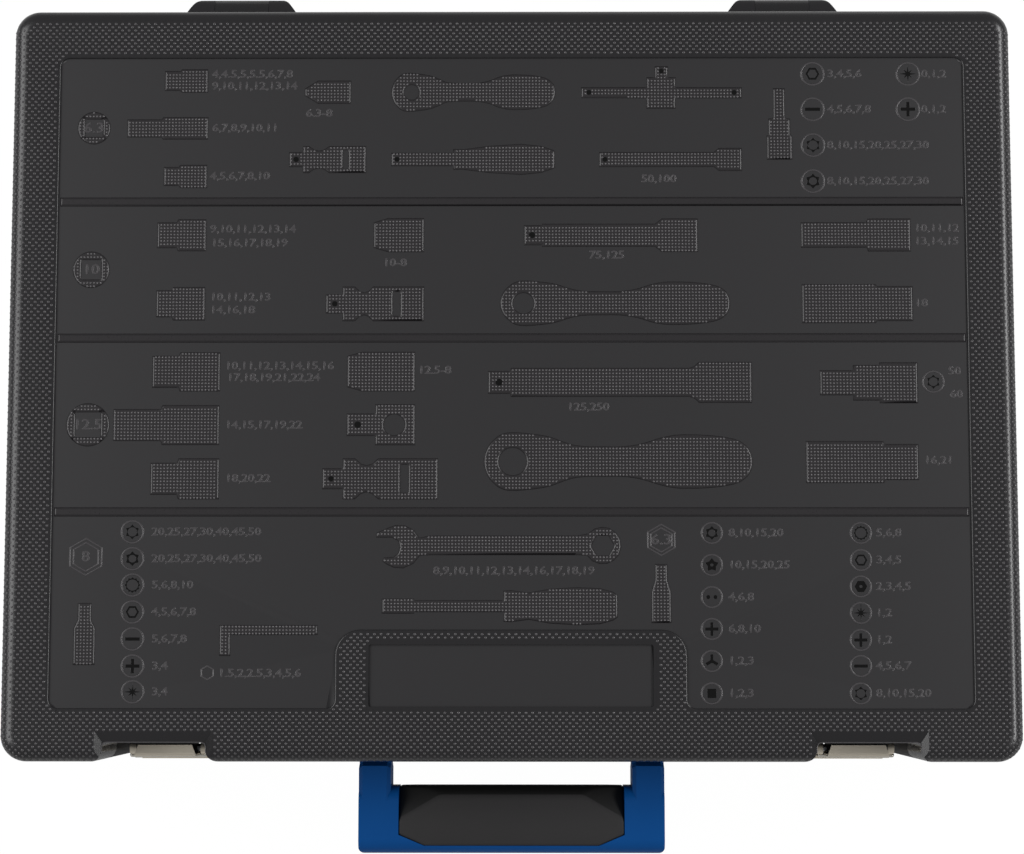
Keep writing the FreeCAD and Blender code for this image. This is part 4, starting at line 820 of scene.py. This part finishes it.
@dataclass
class KnurlField:
    """A field of small domes, arrayed over a rectangle and thinned to where its ground is flat."""

    pitch_x: float = 2.6
    pitch_y: float = 2.62
    staggered: bool = True
    radius: float = 0.6
    height: float = 0.25
    waist: float = 0.62
    waist_height: float = 0.66
    sides: int = 6
    margin: float = 0.5
    feelers: int = 6
    seat: float = 0.05

    def sheet(self, low: Point, high: Point, ground: float) -> bpy.types.Object:
        """Arrays one dome, or a staggered pair of them, over a rectangle.

        Args:
            low: the rectangle's lowest corner.
            high: its highest corner.
            ground: the height that the domes stand on.

        Returns:
            A mesh object of loose domes, open below.
        """
        obj = self.dome()
        obj.location = (low[0] * MM, low[1] * MM, ground * MM)
        settle(obj)
        if self.staggered:
            shift = (self.pitch_x / 2 * MM, self.pitch_y / 2 * MM, 0)
            with editing():
                bpy.ops.mesh.duplicate_move(TRANSFORM_OT_translate={"value": shift})
        for name, count, step in (("across", math.ceil((high[0] - low[0]) / self.pitch_x), (self.pitch_x * MM, 0, 0)),
                                  ("up", math.ceil((high[1] - low[1]) / self.pitch_y), (0, self.pitch_y * MM, 0))):
            row = obj.modifiers.new(name, "ARRAY")
            row.count = count
            row.use_relative_offset = False
            row.use_constant_offset = True
            row.constant_offset_displace = step
        apply_modifiers(obj)
        return obj

    def dome(self) -> bpy.types.Object:
        """Raises one dome at the origin: an open ring, extruded inwards to its waist and then to its tip.

        Returns:
            The dome's object.
        """
        bpy.ops.mesh.primitive_circle_add(vertices=self.sides, radius=self.radius * MM, fill_type="NOTHING",
                                          location=(0, 0, -self.seat * MM))
        obj = settle(bpy.context.object)
        rise = self.height * self.waist_height + self.seat
        rest = self.height * (1 - self.waist_height)
        with editing():
            bpy.ops.mesh.extrude_edges_move(TRANSFORM_OT_translate={"value": (0, 0, rise * MM)})
            bpy.ops.transform.resize(value=(self.waist, self.waist, 1), center_override=(0, 0, 0))
            bpy.ops.mesh.extrude_edges_move(TRANSFORM_OT_translate={"value": (0, 0, rest * MM)})
            bpy.ops.mesh.merge(type="CENTER")
            bpy.ops.mesh.select_all(action="SELECT")
            bpy.ops.mesh.normals_make_consistent(inside=False)
        bpy.ops.object.shade_smooth()
        return obj

    def thin(self, obj: bpy.types.Object, keep: Callable[[float, float], bool]) -> None:
        """Deletes the domes that a test turns down.

        Args:
            obj: a sheet of domes.
            keep: tells from a dome's middle, in mm, whether it stays.
        """
        each = 2 * self.sides + 1
        spots = self.points(obj).reshape(-1, each, 3)
        middles = spots[:, :self.sides, :2].mean(axis=1) / MM
        gone = np.array([not keep(float(x), float(y)) for x, y in middles], dtype=bool)
        only(obj)
        bpy.ops.object.mode_set(mode="EDIT")
        bpy.ops.mesh.select_all(action="DESELECT")
        bpy.ops.object.mode_set(mode="OBJECT")
        obj.data.vertices.foreach_set("select", np.repeat(gone, each))
        bpy.ops.object.mode_set(mode="EDIT")
        bpy.ops.mesh.delete(type="VERT")
        bpy.ops.object.mode_set(mode="OBJECT")

    @staticmethod
    def points(obj: bpy.types.Object) -> np.ndarray:
        """Reads a mesh's points.

        Args:
            obj: a mesh object.

        Returns:
            One row of three metres for each point.
        """
        flat = np.empty(len(obj.data.vertices) * 3)
        obj.data.vertices.foreach_get("co", flat)
        return flat.reshape(-1, 3)

    def around(self) -> list[Point]:
        """Gives the offsets at which the ground is felt: the middle and a ring round it."""
        return [(0.0, 0.0)] + round_outline(0.0, 0.0, self.margin, self.feelers)


@dataclass
class Lid:
    """The lid's outer face: knurled border, raised pictograms, rings, badges and numbers."""

    half_width: float = 191.5
    half_depth: float = 142.1
    corner: float = 4.0
    edge: float = 6.0
    top: float = 94.0
    panel: float = 93.2
    sign_height: float = 0.42
    sign_slope: float = 0.75
    sign_reach: float = 1.14
    sign_sheet: tuple[Point, Point] = ((-178.0, -127.0), (178.0, 128.0))
    feeler: float = 1.0
    badge_sides: int = 40
    ring_height: float = 0.18
    ring_slope: float = 0.3
    ring_width: float = 0.85
    ring_sides: int = 36
    disc_height: float = 0.16
    disc_slope: float = 0.1
    disc_tuck: float = 0.1
    flush_slope: float = 0.02
    sunk_height: float = 0.03
    number_size: float = 4.5
    number_height: float = 0.13
    number_slope: float = 0.17
    number_straight: float = 0.03
    number_thinning: float = 0.1
    number_stretch: float = 1.14
    badge_scale: float = 1.3
    wrap_limit: float = 7.2
    back_limit: float = 0.6
    back_strip: float = 2.0
    border_reach: float = 1.25
    panel_half: float = 178.75
    panel_low: float = -128.1
    panel_high: float = 128.5
    panel_corner: float = 4.0
    rim_half: float = 67.45
    rim_high: float = -97.9
    rim_corner: float = 9.3
    rim_foot: float = 3.9
    field_half: float = 56.05
    field_high: float = -102.0
    field_corner: float = 2.0
    wall_slope: float = 0.55
    wall_cover: float = 1.0
    wall_drop: float = 0.02
    pinhole_limit: float = 3.2
    pinhole_clear: float = 1.25
    pinhole_share: float = 0.26
    pinhole_rise: float = 0.06
    pinhole_sides: int = 16
    bar_half: float = 177.6
    bar_width: float = 3.6
    bar_height: float = 0.52
    bar_slope: float = 0.8
    bar_places: tuple[float, ...] = (70.4, 16.3, -51.8)
    notch_place: float = 137.7
    notch_half: float = 20.1
    notch_back: float = -140.5
    notch_fall: float = 2.2
    notch_roll: Point = (2.6, 4.4)
    notch_over: float = 1.3
    notch_shade: float = 16.0
    bead_radius: float = 0.26
    bead_corner: float = 2.0
    bead_reach: float = 4.2
    bead_steps: int = 4

    def build(self, frame: dict) -> None:
        """Builds and dresses every piece of the lid's outer face.
        """
        self.border(self.tree(frame["nodes"]["lid_shell"]))
        self.rolled_shell(frame)
        self.notch_highlight_beads()
        self.walls()
        self.bars()
        self.sign_knurl(self.signs())
        self.pinholes()
        self.rings()
        self.symbols()
        self.numbers()

    @staticmethod
    def dress(obj: bpy.types.Object, name: str, finish: Finish) -> None:
        """Hands over a piece of the lid."""
        hand_over(obj, "lid_" + name, "lid", finish)

    @staticmethod
    def tree(obj: bpy.types.Object) -> BVHTree:
        """Makes a search tree of a mesh in the common frame.

        Args:
            obj: a mesh object.

        Returns:
            The tree.
        """
        corners = [obj.matrix_world @ v.co for v in obj.data.vertices]
        return BVHTree.FromPolygons(corners, [p.vertices[:] for p in obj.data.polygons])

    def beyond(self, x: float, y: float) -> tuple[float, Vector]:
        """Measures how far a place lies outside the flat top.

        Args:
            x: the place, in mm.
            y: the place, in mm.

        Returns:
            The distance, negative inside, and the outward direction.
        """
        dx = abs(x) - (self.half_width - self.corner)
        dy = abs(y) - (self.half_depth - self.corner)
        out = Vector((max(dx, 0.0), max(dy, 0.0)))
        if out.length > 1e-9:
            far, way = out.length - self.corner, out.normalized()
        else:
            far = max(dx, dy) - self.corner
            way = Vector((1.0, 0.0)) if dx > dy else Vector((0.0, 1.0))
        return far, Vector((math.copysign(way.x, x) if way.x else 0.0, math.copysign(way.y, y) if way.y else 0.0))

    def wrapped(self, x: float, y: float, lift: float) -> Vector:
        """Lays a flat place over the lid's rounded edge by its length along the surface.

        Args:
            x: the place on the flat sheet, in mm.
            y: the place on the flat sheet, in mm.
            lift: its height above the surface, in mm.

        Returns:
            The place on the lid, in mm.
        """
        far, way = self.beyond(x, y)
        if far <= 0:
            return Vector((x, y, self.top + lift))
        angle = min(far / self.edge, math.pi / 2)
        foot = Vector((x, y)) - way * far
        reach = foot + way * (self.edge + lift) * math.sin(angle)
        return Vector((reach.x, reach.y, self.top - self.edge + (self.edge + lift) * math.cos(angle)))

    def border(self, shell: BVHTree) -> None:
        """Knurls the border, the name plate's rim and the rounded edges.

        Args:
            shell: the lid shell's search tree.
        """
        field = KnurlField()
        reach = self.edge * math.pi / 2
        wide, deep = self.half_width + reach, self.half_depth + reach
        obj = field.sheet((-wide, -deep), (wide, deep), self.top)

        def keep(x: float, y: float) -> bool:
            """Tells whether a dome lies on the lid's top or rounded edge and clear of the notches.

            Args:
                x: the dome's middle on the flat sheet, in mm.
                y: the dome's middle on the flat sheet, in mm.

            Returns:
                True where the dome stays.
            """
            far, _ = self.beyond(x, y)
            if far > (self.back_limit if y > self.half_depth - self.back_strip else self.wrap_limit):
                return False
            wide, deep = self.notch_roll
            if abs(abs(x) - self.notch_place) < self.notch_half + wide and y < self.notch_back + deep:
                return False
            for ox, oy in field.around():
                spot = self.wrapped(x + ox, y + oy, 0.0)
                over = self.wrapped(x + ox, y + oy, self.feeler)
                if shell.ray_cast(over * MM, (spot - over).normalized(), self.border_reach * MM)[0] is None:
                    return False
            return True

        field.thin(obj, keep)
        spots = field.points(obj) / MM
        moved = np.array([self.wrapped(x, y, z - self.top)[:] for x, y, z in spots]) * MM
        obj.data.vertices.foreach_set("co", moved.ravel())
        obj.data.update()
        # Painted highlight: the domes wear a paler plastic that stands for the light they catch.
        self.dress(obj, "border_knurl", PALE_HIGHLIGHT_PLASTIC)

    def rolled_shell(self, frame: dict) -> None:
        """Rolls the lid's top down into both latch notches, by cutting a copy of the shell with two wedges.
        """
        obj = copy_of_node(frame, "lid_shell")
        wide, deep = self.notch_roll
        half = self.notch_half * deep / wide
        rise = self.notch_over * self.notch_fall
        for side in SIDES:
            bpy.ops.mesh.primitive_cone_add(vertices=4, radius1=math.sqrt(2),
                                            radius2=math.sqrt(2) * (1 + self.notch_over * wide / self.notch_half),
                                            depth=rise * MM, rotation=(0, 0, math.pi / 4))
            wedge = settle(bpy.context.object)
            wedge.scale = (self.notch_half * MM, half * MM, 1)
            wedge.location = (side * self.notch_place * MM, (self.notch_back - half) * MM,
                              (self.top - self.notch_fall + rise / 2) * MM)
            settle(wedge)
            cut = obj.modifiers.new("notch_roll", "BOOLEAN")
            cut.operation = "DIFFERENCE"
            cut.solver = "EXACT"
            cut.object = wedge
            apply_modifiers(obj)
            bpy.data.objects.remove(wedge, do_unlink=True)
        bpy.ops.object.shade_smooth_by_angle(angle=math.radians(self.notch_shade))
        obj.modifiers.new("even_normals", "WEIGHTED_NORMAL").keep_sharp = True
        apply_modifiers(obj)
        self.dress(obj, "rolled_shell", CASE_PLASTIC)
        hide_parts("lid_shell")

    def notch_highlight_beads(self) -> None:
        """Runs a thin bead along the lower edge of each notch's roll, pale as a painted highlight on its rim."""
        wire = bpy.data.curves.new("notch_highlight_beads", "CURVE")
        wire.dimensions = "3D"
        wire.bevel_depth = self.bead_radius * MM
        wire.bevel_resolution = 1
        r, back, low = self.bead_corner, self.notch_back - self.bead_corner, self.notch_back - self.bead_reach
        for side in SIDES:
            x0, x1 = side * self.notch_place - self.notch_half, side * self.notch_place + self.notch_half
            path = [(x0, low)] + bend_outline(x0 + r, back, r, 180, 90, self.bead_steps)
            path += bend_outline(x1 - r, back, r, 90, 0, self.bead_steps) + [(x1, low)]
            line = wire.splines.new("POLY")
            line.points.add(len(path) - 1)
            for point, (x, y) in zip(line.points, path):
                point.co = (x * MM, y * MM, (self.top - self.notch_fall) * MM, 1.0)
        obj = bpy.data.objects.new("notch_highlight_beads", wire)
        bpy.context.scene.collection.objects.link(obj)
        only(obj)
        bpy.ops.object.convert(target="MESH")
        bpy.ops.object.shade_smooth()
        # Painted highlight: the pale bead stands for a line of light along the notch's rim.
        self.dress(bpy.context.object, "notch_highlight_beads", PALE_HIGHLIGHT_PLASTIC)

    def panel_outline(self, inset: float) -> list[Point]:
        """Gives the sunk panel's outline, round the name plate's rim.

        Args:
            inset: how far the line lies inside the panel's wall, in mm.

        Returns:
            The corners in order.
        """
        low, foot, rim = self.panel_low, self.rim_foot, self.rim_corner
        corners = rounded_box(self.panel_half, low, self.panel_high, self.panel_corner, inset)
        plate = [(-self.rim_half - foot, low + foot, foot - inset, 270, 360),
                 (-self.rim_half + rim, self.rim_high - rim, rim + inset, 180, 90),
                 (self.rim_half - rim, self.rim_high - rim, rim + inset, 90, 0),
                 (self.rim_half + foot, low + foot, foot - inset, 180, 270)]
        return corners + [spot for bend in plate for spot in bend_outline(*bend)]

    def field_outline(self, inset: float) -> list[Point]:
        """Gives the outline of the name plate's bare field, some way inside its wall."""
        return rounded_box(self.field_half, self.panel_low, self.field_high, self.field_corner, inset)

    def walls(self) -> None:
        """Rounds off the walls of the panel and of the name plate's field, which a mould leaves sloping."""
        shapes = sharp(*(outline(inset) for outline in (self.panel_outline, self.field_outline)
                         for inset in (-self.wall_cover, self.wall_slope)))
        height = self.top - self.panel - self.wall_drop
        self.dress(FlatPlates(self.panel, self.wall_slope, steps=1).build(shapes, height), "panel_walls", CASE_PLASTIC)

    def bars(self) -> None:
        """Lays the sloping edges over the divider bars."""
        shapes = sharp(*(box_outline(0.0, y, self.bar_half, self.bar_width / 2) for y in self.bar_places))
        self.dress(FlatPlates(self.panel, self.bar_slope).build(shapes, self.bar_height), "divider_edges", SIGN_PLASTIC)

    def signs(self) -> bpy.types.Object:
        """Raises the pictograms and the knurled badges.

        Returns:
            Their mesh object.
        """
        shapes: list[Shape] = []
        for sign in ALL_SIGNS:
            LOG.info("pictogram: %s", sign.name)
            shapes.append((sign.outline(), sign.rounded))
            shapes += sharp(*(cut.outline() for cut in sign.cuts if not self.is_pinhole(cut)))
        for badge in DRIVE_BADGES:
            shapes += sharp(round_outline(badge.x, badge.y, badge.radius, self.badge_sides),
                            round_outline(badge.x, badge.y, badge.inner * math.sqrt(2), 4, 45))
        obj = FlatPlates(self.panel, self.sign_slope).build(shapes, self.sign_height)
        self.dress(obj, "pictograms", SIGN_PLASTIC)
        return obj

    def is_pinhole(self, cut: Cut) -> bool:
        """Tells whether a cut is one of the small holes for a detent ball."""
        return max(cut.width, cut.height) < self.pinhole_limit

    def detents(self) -> list[Cut]:
        """Lists the small holes for detent balls."""
        return [cut for sign in ALL_SIGNS for cut in sign.cuts if self.is_pinhole(cut)]

    def pinholes(self) -> None:
        """Marks the small detent holes on the pictograms with painted shade: dark discs that are flush with their tops.
        """
        shapes = sharp(*(round_outline(cut.x, cut.y, self.pinhole_share * (cut.width + cut.height), self.pinhole_sides)
                         for cut in self.detents()))
        obj = FlatPlates(self.panel, self.flush_slope).build(shapes, self.sign_height + self.pinhole_rise)
        self.dress(obj, "detent_hole_painted_shade", SHADE_PAINTED_PLASTIC)

    def sign_knurl(self, signs: bpy.types.Object) -> None:
        """Knurls the tops of the pictograms.

        Args:
            signs: the pictograms.
        """
        field = KnurlField(pitch_x=1.304, pitch_y=1.28, staggered=False, radius=0.46, height=0.2, margin=0.05,
                           seat=0.16)
        obj = field.sheet(*self.sign_sheet, self.panel + self.sign_height)
        felt = self.tree(signs)
        down = Vector((0, 0, -1))
        above = (self.panel + self.sign_height + self.feeler) * MM
        holes = self.detents()

        def keep(x: float, y: float) -> bool:
            """Tells whether a dome lies on a pictogram's top and clear of its holes.

            Args:
                x: the dome's middle, in mm.
                y: the dome's middle, in mm.

            Returns:
                True where the dome stays.
            """
            if any(math.hypot(x - hole.x, y - hole.y) < self.pinhole_clear for hole in holes):
                return False
            spots = [Vector(((x + ox) * MM, (y + oy) * MM, above)) for ox, oy in field.around()]
            return all(felt.ray_cast(spot, down, self.sign_reach * MM)[0] is not None for spot in spots)

        field.thin(obj, keep)
        # Painted highlight: the domes wear a paler plastic that stands for the light they catch.
        self.dress(obj, "pictogram_knurl", SIGN_KNURL_HIGHLIGHT)

    def rings(self) -> None:
        """Raises the thin rings and the double hexagons."""
        lines = [(ring.x, ring.y, ring.radius, self.ring_sides, 0.0) for ring in DRIVE_RINGS]
        for badge in HEXAGON_BADGES:
            for radius in (badge.radius, badge.inner) if badge.number else (badge.radius,):
                lines.append((badge.x, badge.y, radius, 6, 90.0))
        shapes = sharp(*(round_outline(x, y, radius - inset, sides, turn) for x, y, radius, sides, turn in lines
                         for inset in (0.0, self.ring_width)))
        obj = FlatPlates(self.panel, self.ring_slope).build(shapes, self.ring_height)
        # Painted highlight: the rings wear the pale plastic of the numbers.
        self.dress(obj, "drive_rings", STROKE_HIGHLIGHT_PLASTIC)

    def symbol(self, ring: DriveRing) -> tuple[list[list[Point]], list[list[Point]]]:
        """Draws a drive symbol.

        Args:
            ring: the ring that holds it.

        Returns:
            The outlines that are sunk, and the ones that stand up again inside them.
        """
        x, y, r = ring.x, ring.y, ring.radius
        pin = [round_outline(x, y, 0.15 * r, 12)]
        six = [star_outline(x, y, [0.6 * r, 0.42 * r] * 6, 90)]
        hexagon = [round_outline(x, y, 0.55 * r, 6)]
        drawings: dict[Drive, tuple[list[list[Point]], list[list[Point]]]] = {
            Drive.HEXAGON: (hexagon, [round_outline(x, y, 0.4 * r, 6)]),
            Drive.HEXAGON_PIN: (hexagon, pin),
            Drive.EIGHT_RAY: ([star_outline(x, y, [0.62 * r, 0.15 * r, 0.46 * r, 0.15 * r] * 4, 90)], []),
            Drive.SLOT: ([arms_outline(x, y, 2, 0.6 * r, 0.12 * r, 0.0)], []),
            Drive.CROSS: ([arms_outline(x, y, 4, 0.58 * r, 0.12 * r)], []),
            Drive.SIX_STAR: (six, [round_outline(x, y, 0.4 * r, 18)]),
            Drive.SIX_STAR_PIN: (six, [round_outline(x, y, 0.33 * r, 18)]),
            Drive.FIVE_STAR_PIN: ([star_outline(x, y, [0.6 * r, 0.38 * r] * 5, 90)], pin),
            Drive.SPLINE: ([star_outline(x, y, [0.64 * r, 0.52 * r] * 12, 90)], [round_outline(x, y, 0.48 * r, 24)]),
            Drive.TWO_DOTS: ([round_outline(x + side * 0.32 * r, y, 0.17 * r, 12) for side in SIDES], []),
            Drive.THREE_WING: ([arms_outline(x, y, 3, 0.58 * r, 0.12 * r)], []),
            Drive.SQUARE: ([round_outline(x, y, 0.55 * r, 4, 45)], []),
        }
        return drawings[ring.drive]

    def symbols(self) -> None:
        """Makes the low discs inside the rings, cut by their symbols, and dark sheets of painted shade on the floors of
        the cuts.
        """
        discs: list[Shape] = []
        painted_shade_floors: list[Shape] = []
        for ring in DRIVE_RINGS:
            sunk, standing = self.symbol(ring)
            inside = round_outline(ring.x, ring.y, ring.radius - self.ring_width + self.disc_tuck, self.ring_sides)
            discs += sharp(inside, *sunk, *standing)
            painted_shade_floors += sharp(*sunk)
        self.dress(FlatPlates(self.panel, self.disc_slope).build(discs, self.disc_height), "drive_discs", CASE_PLASTIC)
        self.dress(FlatPlates(self.panel, self.flush_slope).build(painted_shade_floors, self.sunk_height), "drive_symbol_painted_shade",
                   SHADE_PAINTED_PLASTIC)

    def numbers(self) -> None:
        """Writes the size numbers."""
        lines = [(label.x, label.y, label.numbers, "LEFT", 1.0) for label in SIZE_LABELS]
        lines += [(badge.x, badge.y, badge.number, "CENTER", self.badge_scale)
                  for badge in DRIVE_BADGES + HEXAGON_BADGES if badge.number]
        made: list[bpy.types.Object] = []
        for x, y, text, side, scale in lines:
            bpy.ops.object.text_add(location=(0, 0, 0))
            obj = bpy.context.object
            words = obj.data
            words.body = text
            words.align_x = side
            words.align_y = "CENTER"
            words.size = self.number_size * scale * MM
            words.resolution_u = 2
            words.extrude = self.number_straight * MM
            words.bevel_depth = self.number_slope * MM
            words.bevel_resolution = 0
            words.offset = -self.number_thinning * self.number_slope * MM
            bpy.ops.object.convert(target="MESH")
            obj = bpy.context.object
            obj.scale = (self.number_stretch, 1, self.number_height / (self.number_slope + self.number_straight))
            obj.location = (x * MM, y * MM, self.panel * MM)
            settle(obj)
            made.append(obj)
        bpy.ops.object.select_all(action="DESELECT")
        for obj in made:
            obj.select_set(True)
        bpy.context.view_layer.objects.active = made[0]
        bpy.ops.object.join()
        tidy_mesh(made[0])
        # Painted highlight: the numbers are paler than the lid, standing for the light on their edges.
        self.dress(made[0], "size_numbers", STROKE_HIGHLIGHT_PLASTIC)


# ---------------------------------------------------------------- latches

@dataclass
class LatchRoll:
    """The rolled front edge of a latch lever, with its rounded ends."""

    node: str
    side: int
    offset: float = 138.5
    y: float = -147.0
    z: float = 49.0
    half: float = 15.4
    radius: float = 0.95
    end_share: float = 0.9

    def build(self) -> None:
        """Turns the roll, rounds its ends and hangs it on the lever."""
        place = (self.side * self.offset * MM, self.y * MM, self.z * MM)
        bpy.ops.mesh.primitive_cylinder_add(vertices=16, radius=self.radius * MM, depth=2 * self.half * MM,
                                            location=place, rotation=(0, math.pi / 2, 0))
        obj = settle(bpy.context.object)
        round_edges(obj, self.end_share * self.radius, segments=4, limit=60, smooth=50)
        hand_over(obj, self.node + "_roll", self.node, ROLL_NICKEL)


# ---------------------------------------------------------------- grips

@dataclass
class CarryGrip:
    """The soft grip on the handle's bar: the CAD form with softened edges."""

    soft_edge: float = 1.1
    painted_shade_drop: float = 0.7
    flat: float = 0.6
    beyond: float = 400.0

    def build(self, frame: dict) -> None:
        """Rounds a copy of the grip's solid and lets it stand for it.
        """
        obj = copy_of_node(frame, "handle_grip", self.flat)
        round_edges(obj, self.soft_edge, segments=3, limit=12, smooth=35)
        crown = max(corner.co.z for corner in obj.data.vertices) / MM
        # Painted shade: below the crown the grip's sides turn near black.
        finish = replace(GRIP_RUBBER, panel=(self.beyond, self.beyond, crown - self.painted_shade_drop))
        hand_over(obj, "carry_grip", "handle", finish)
        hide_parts("handle_grip")


@dataclass
class ToolGrip:
    """A swelling tool grip: the CAD's eight-sided form with its flats rounded off."""

    node: str
    soft_edge: float = 1.2
    flat: float = 0.6

    def build(self, frame: dict) -> None:
        """Rounds a copy of the grip's solid and lets it stand for it.
        """
        obj = copy_of_node(frame, self.node, self.flat)
        round_edges(obj, self.soft_edge, segments=3, limit=8, smooth=40)
        hand_over(obj, self.node + "_soft", "base", TOOL_RUBBER)
        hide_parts(self.node)


# ---------------------------------------------------------------- studio

@dataclass(frozen=True)
class Softbox:
    """A rectangular lamp that faces the case: its place in mm, its length and height in metres, its power in watts."""

    name: str
    place: Place
    size: Point
    power: float

    def hang(self) -> None:
        """Hangs the lamp with its length along the case's edge."""
        lamp = bpy.data.lights.new(self.name, "AREA")
        lamp.shape = "RECTANGLE"
        lamp.size, lamp.size_y = self.size
        lamp.energy = self.power
        obj = bpy.data.objects.new(self.name, lamp)
        bpy.context.scene.collection.objects.link(obj)
        where = Vector(self.place) * MM
        away = (where - Vector(LID_MIDDLE) * MM).normalized()
        along = Vector((0, 1, 0))
        along = (along - away * along.dot(away)).normalized()
        up = away.cross(along)
        obj.matrix_world = Matrix.Translation(where) @ Matrix((along, up, along.cross(up))).transposed().to_4x4()


@dataclass
class Studio:
    """Pale floor, two side softboxes and the camera high over the case."""

    camera: Place = (5.84, -109.57, 994.0)
    pitch: float = 5.761
    yaw: float = 0.348
    roll: float = -0.015
    focal: float = 81.71
    sensor: float = 36.0
    clip: Point = (0.05, 50.0)
    softboxes: tuple[Softbox, ...] = (
        Softbox("left_softbox", (-1050.0, 150.0, 850.0), (1.2, 0.75), 11.3),
        Softbox("right_softbox", (1050.0, 150.0, 850.0), (1.2, 0.36), 12.0),
    )
    room: float = 0.33
    floor_size: float = 12000.0
    floor_drop: float = 0.05
    floor_colour: str = "#c8c8c8"
    floor_glow: float = 1.02
    floor_glow_share: float = 0.97

    def build(self) -> None:
        """Sets up camera, lights, room and floor."""
        scene = bpy.context.scene
        scene.view_settings.view_transform = "Standard"
        self.place_camera(scene)
        for softbox in self.softboxes:
            softbox.hang()
        self.light_room(scene)
        self.lay_floor()

    def place_camera(self, scene: bpy.types.Scene) -> None:
        """Hangs the camera over the case.

        Args:
            scene: the scene that looks through it.
        """
        eye = bpy.data.cameras.new("camera")
        eye.sensor_fit = "HORIZONTAL"
        eye.sensor_width = self.sensor
        eye.lens = self.focal
        eye.clip_start, eye.clip_end = self.clip
        obj = bpy.data.objects.new("camera", eye)
        scene.collection.objects.link(obj)
        turn = Matrix.Identity(4)
        for axis, angle in zip("XYZ", (self.pitch, self.yaw, self.roll)):
            turn = turn @ Matrix.Rotation(math.radians(angle), 4, axis)
        obj.matrix_world = Matrix.Translation(Vector(self.camera) * MM) @ turn
        scene.camera = obj

    def light_room(self, scene: bpy.types.Scene) -> None:
        """Gives the room an even pale grey light.

        Args:
            scene: the scene that stands in the room.
        """
        room = bpy.data.worlds.new("studio_room")
        room.use_nodes = True
        room.node_tree.nodes["Background"].inputs["Color"].default_value = (self.room,) * 3 + (1.0,)
        scene.world = room

    def lay_floor(self) -> None:
        """Lays a white floor that reads as white from above and keeps the case's shadow."""
        bpy.ops.mesh.primitive_plane_add(size=self.floor_size * MM, location=(0, 0, -self.floor_drop * MM))
        floor = settle(bpy.context.object)
        floor.name = "studio_floor"
        paint = bpy.data.materials.new("white_studio_floor")
        paint.use_nodes = True
        tree = paint.node_tree
        tree.nodes.clear()
        rays = add_node(tree, "ShaderNodeLightPath")
        seen = add_node(tree, "ShaderNodeMath", {"operation": "MAXIMUM"},
                        {0: rays.outputs["Is Camera Ray"], 1: rays.outputs["Is Transmission Ray"]})
        share = add_node(tree, "ShaderNodeMath", {"operation": "MULTIPLY", 1: self.floor_glow_share},
                         {0: seen.outputs[0]})
        matt = add_node(tree, "ShaderNodeBsdfDiffuse", {"Color": linear(self.floor_colour)})
        glow = add_node(tree, "ShaderNodeEmission", {"Strength": self.floor_glow})
        both = add_node(tree, "ShaderNodeMixShader", {},
                        {0: share.outputs[0], 1: matt.outputs["BSDF"], 2: glow.outputs["Emission"]})
        add_node(tree, "ShaderNodeOutputMaterial", {}, {"Surface": both.outputs["Shader"]})
        floor.data.materials.append(paint)


# ---------------------------------------------------------------- main

def dress_nodes(frame: dict) -> None:
    """Gives every CAD node that stays its finish.
    """
    for name, obj in frame["nodes"].items():
        finish = NODE_FINISHES.get(name, TOOL_CHROME)
        if not obj.material_slots:
            obj.data.materials.append(None)
        for place in obj.material_slots:
            place.material = finish.material()
        LOG.info("node %s in %s", name, finish.name)


def main() -> None:
    """Builds the case's looks in order."""
    logging.basicConfig(level=logging.INFO, format="%(message)s")
    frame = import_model()
    dress_nodes(frame)
    Studio().build()
    Lid().build(frame)
    for node, side in zip(("latch_lever_left", "latch_lever_right"), SIDES):
        LatchRoll(node, side).build()
    CarryGrip().build(frame)
    for node in TOOL_GRIPS:
        ToolGrip(node).build(frame)


if __name__ == "__main__":
    main()
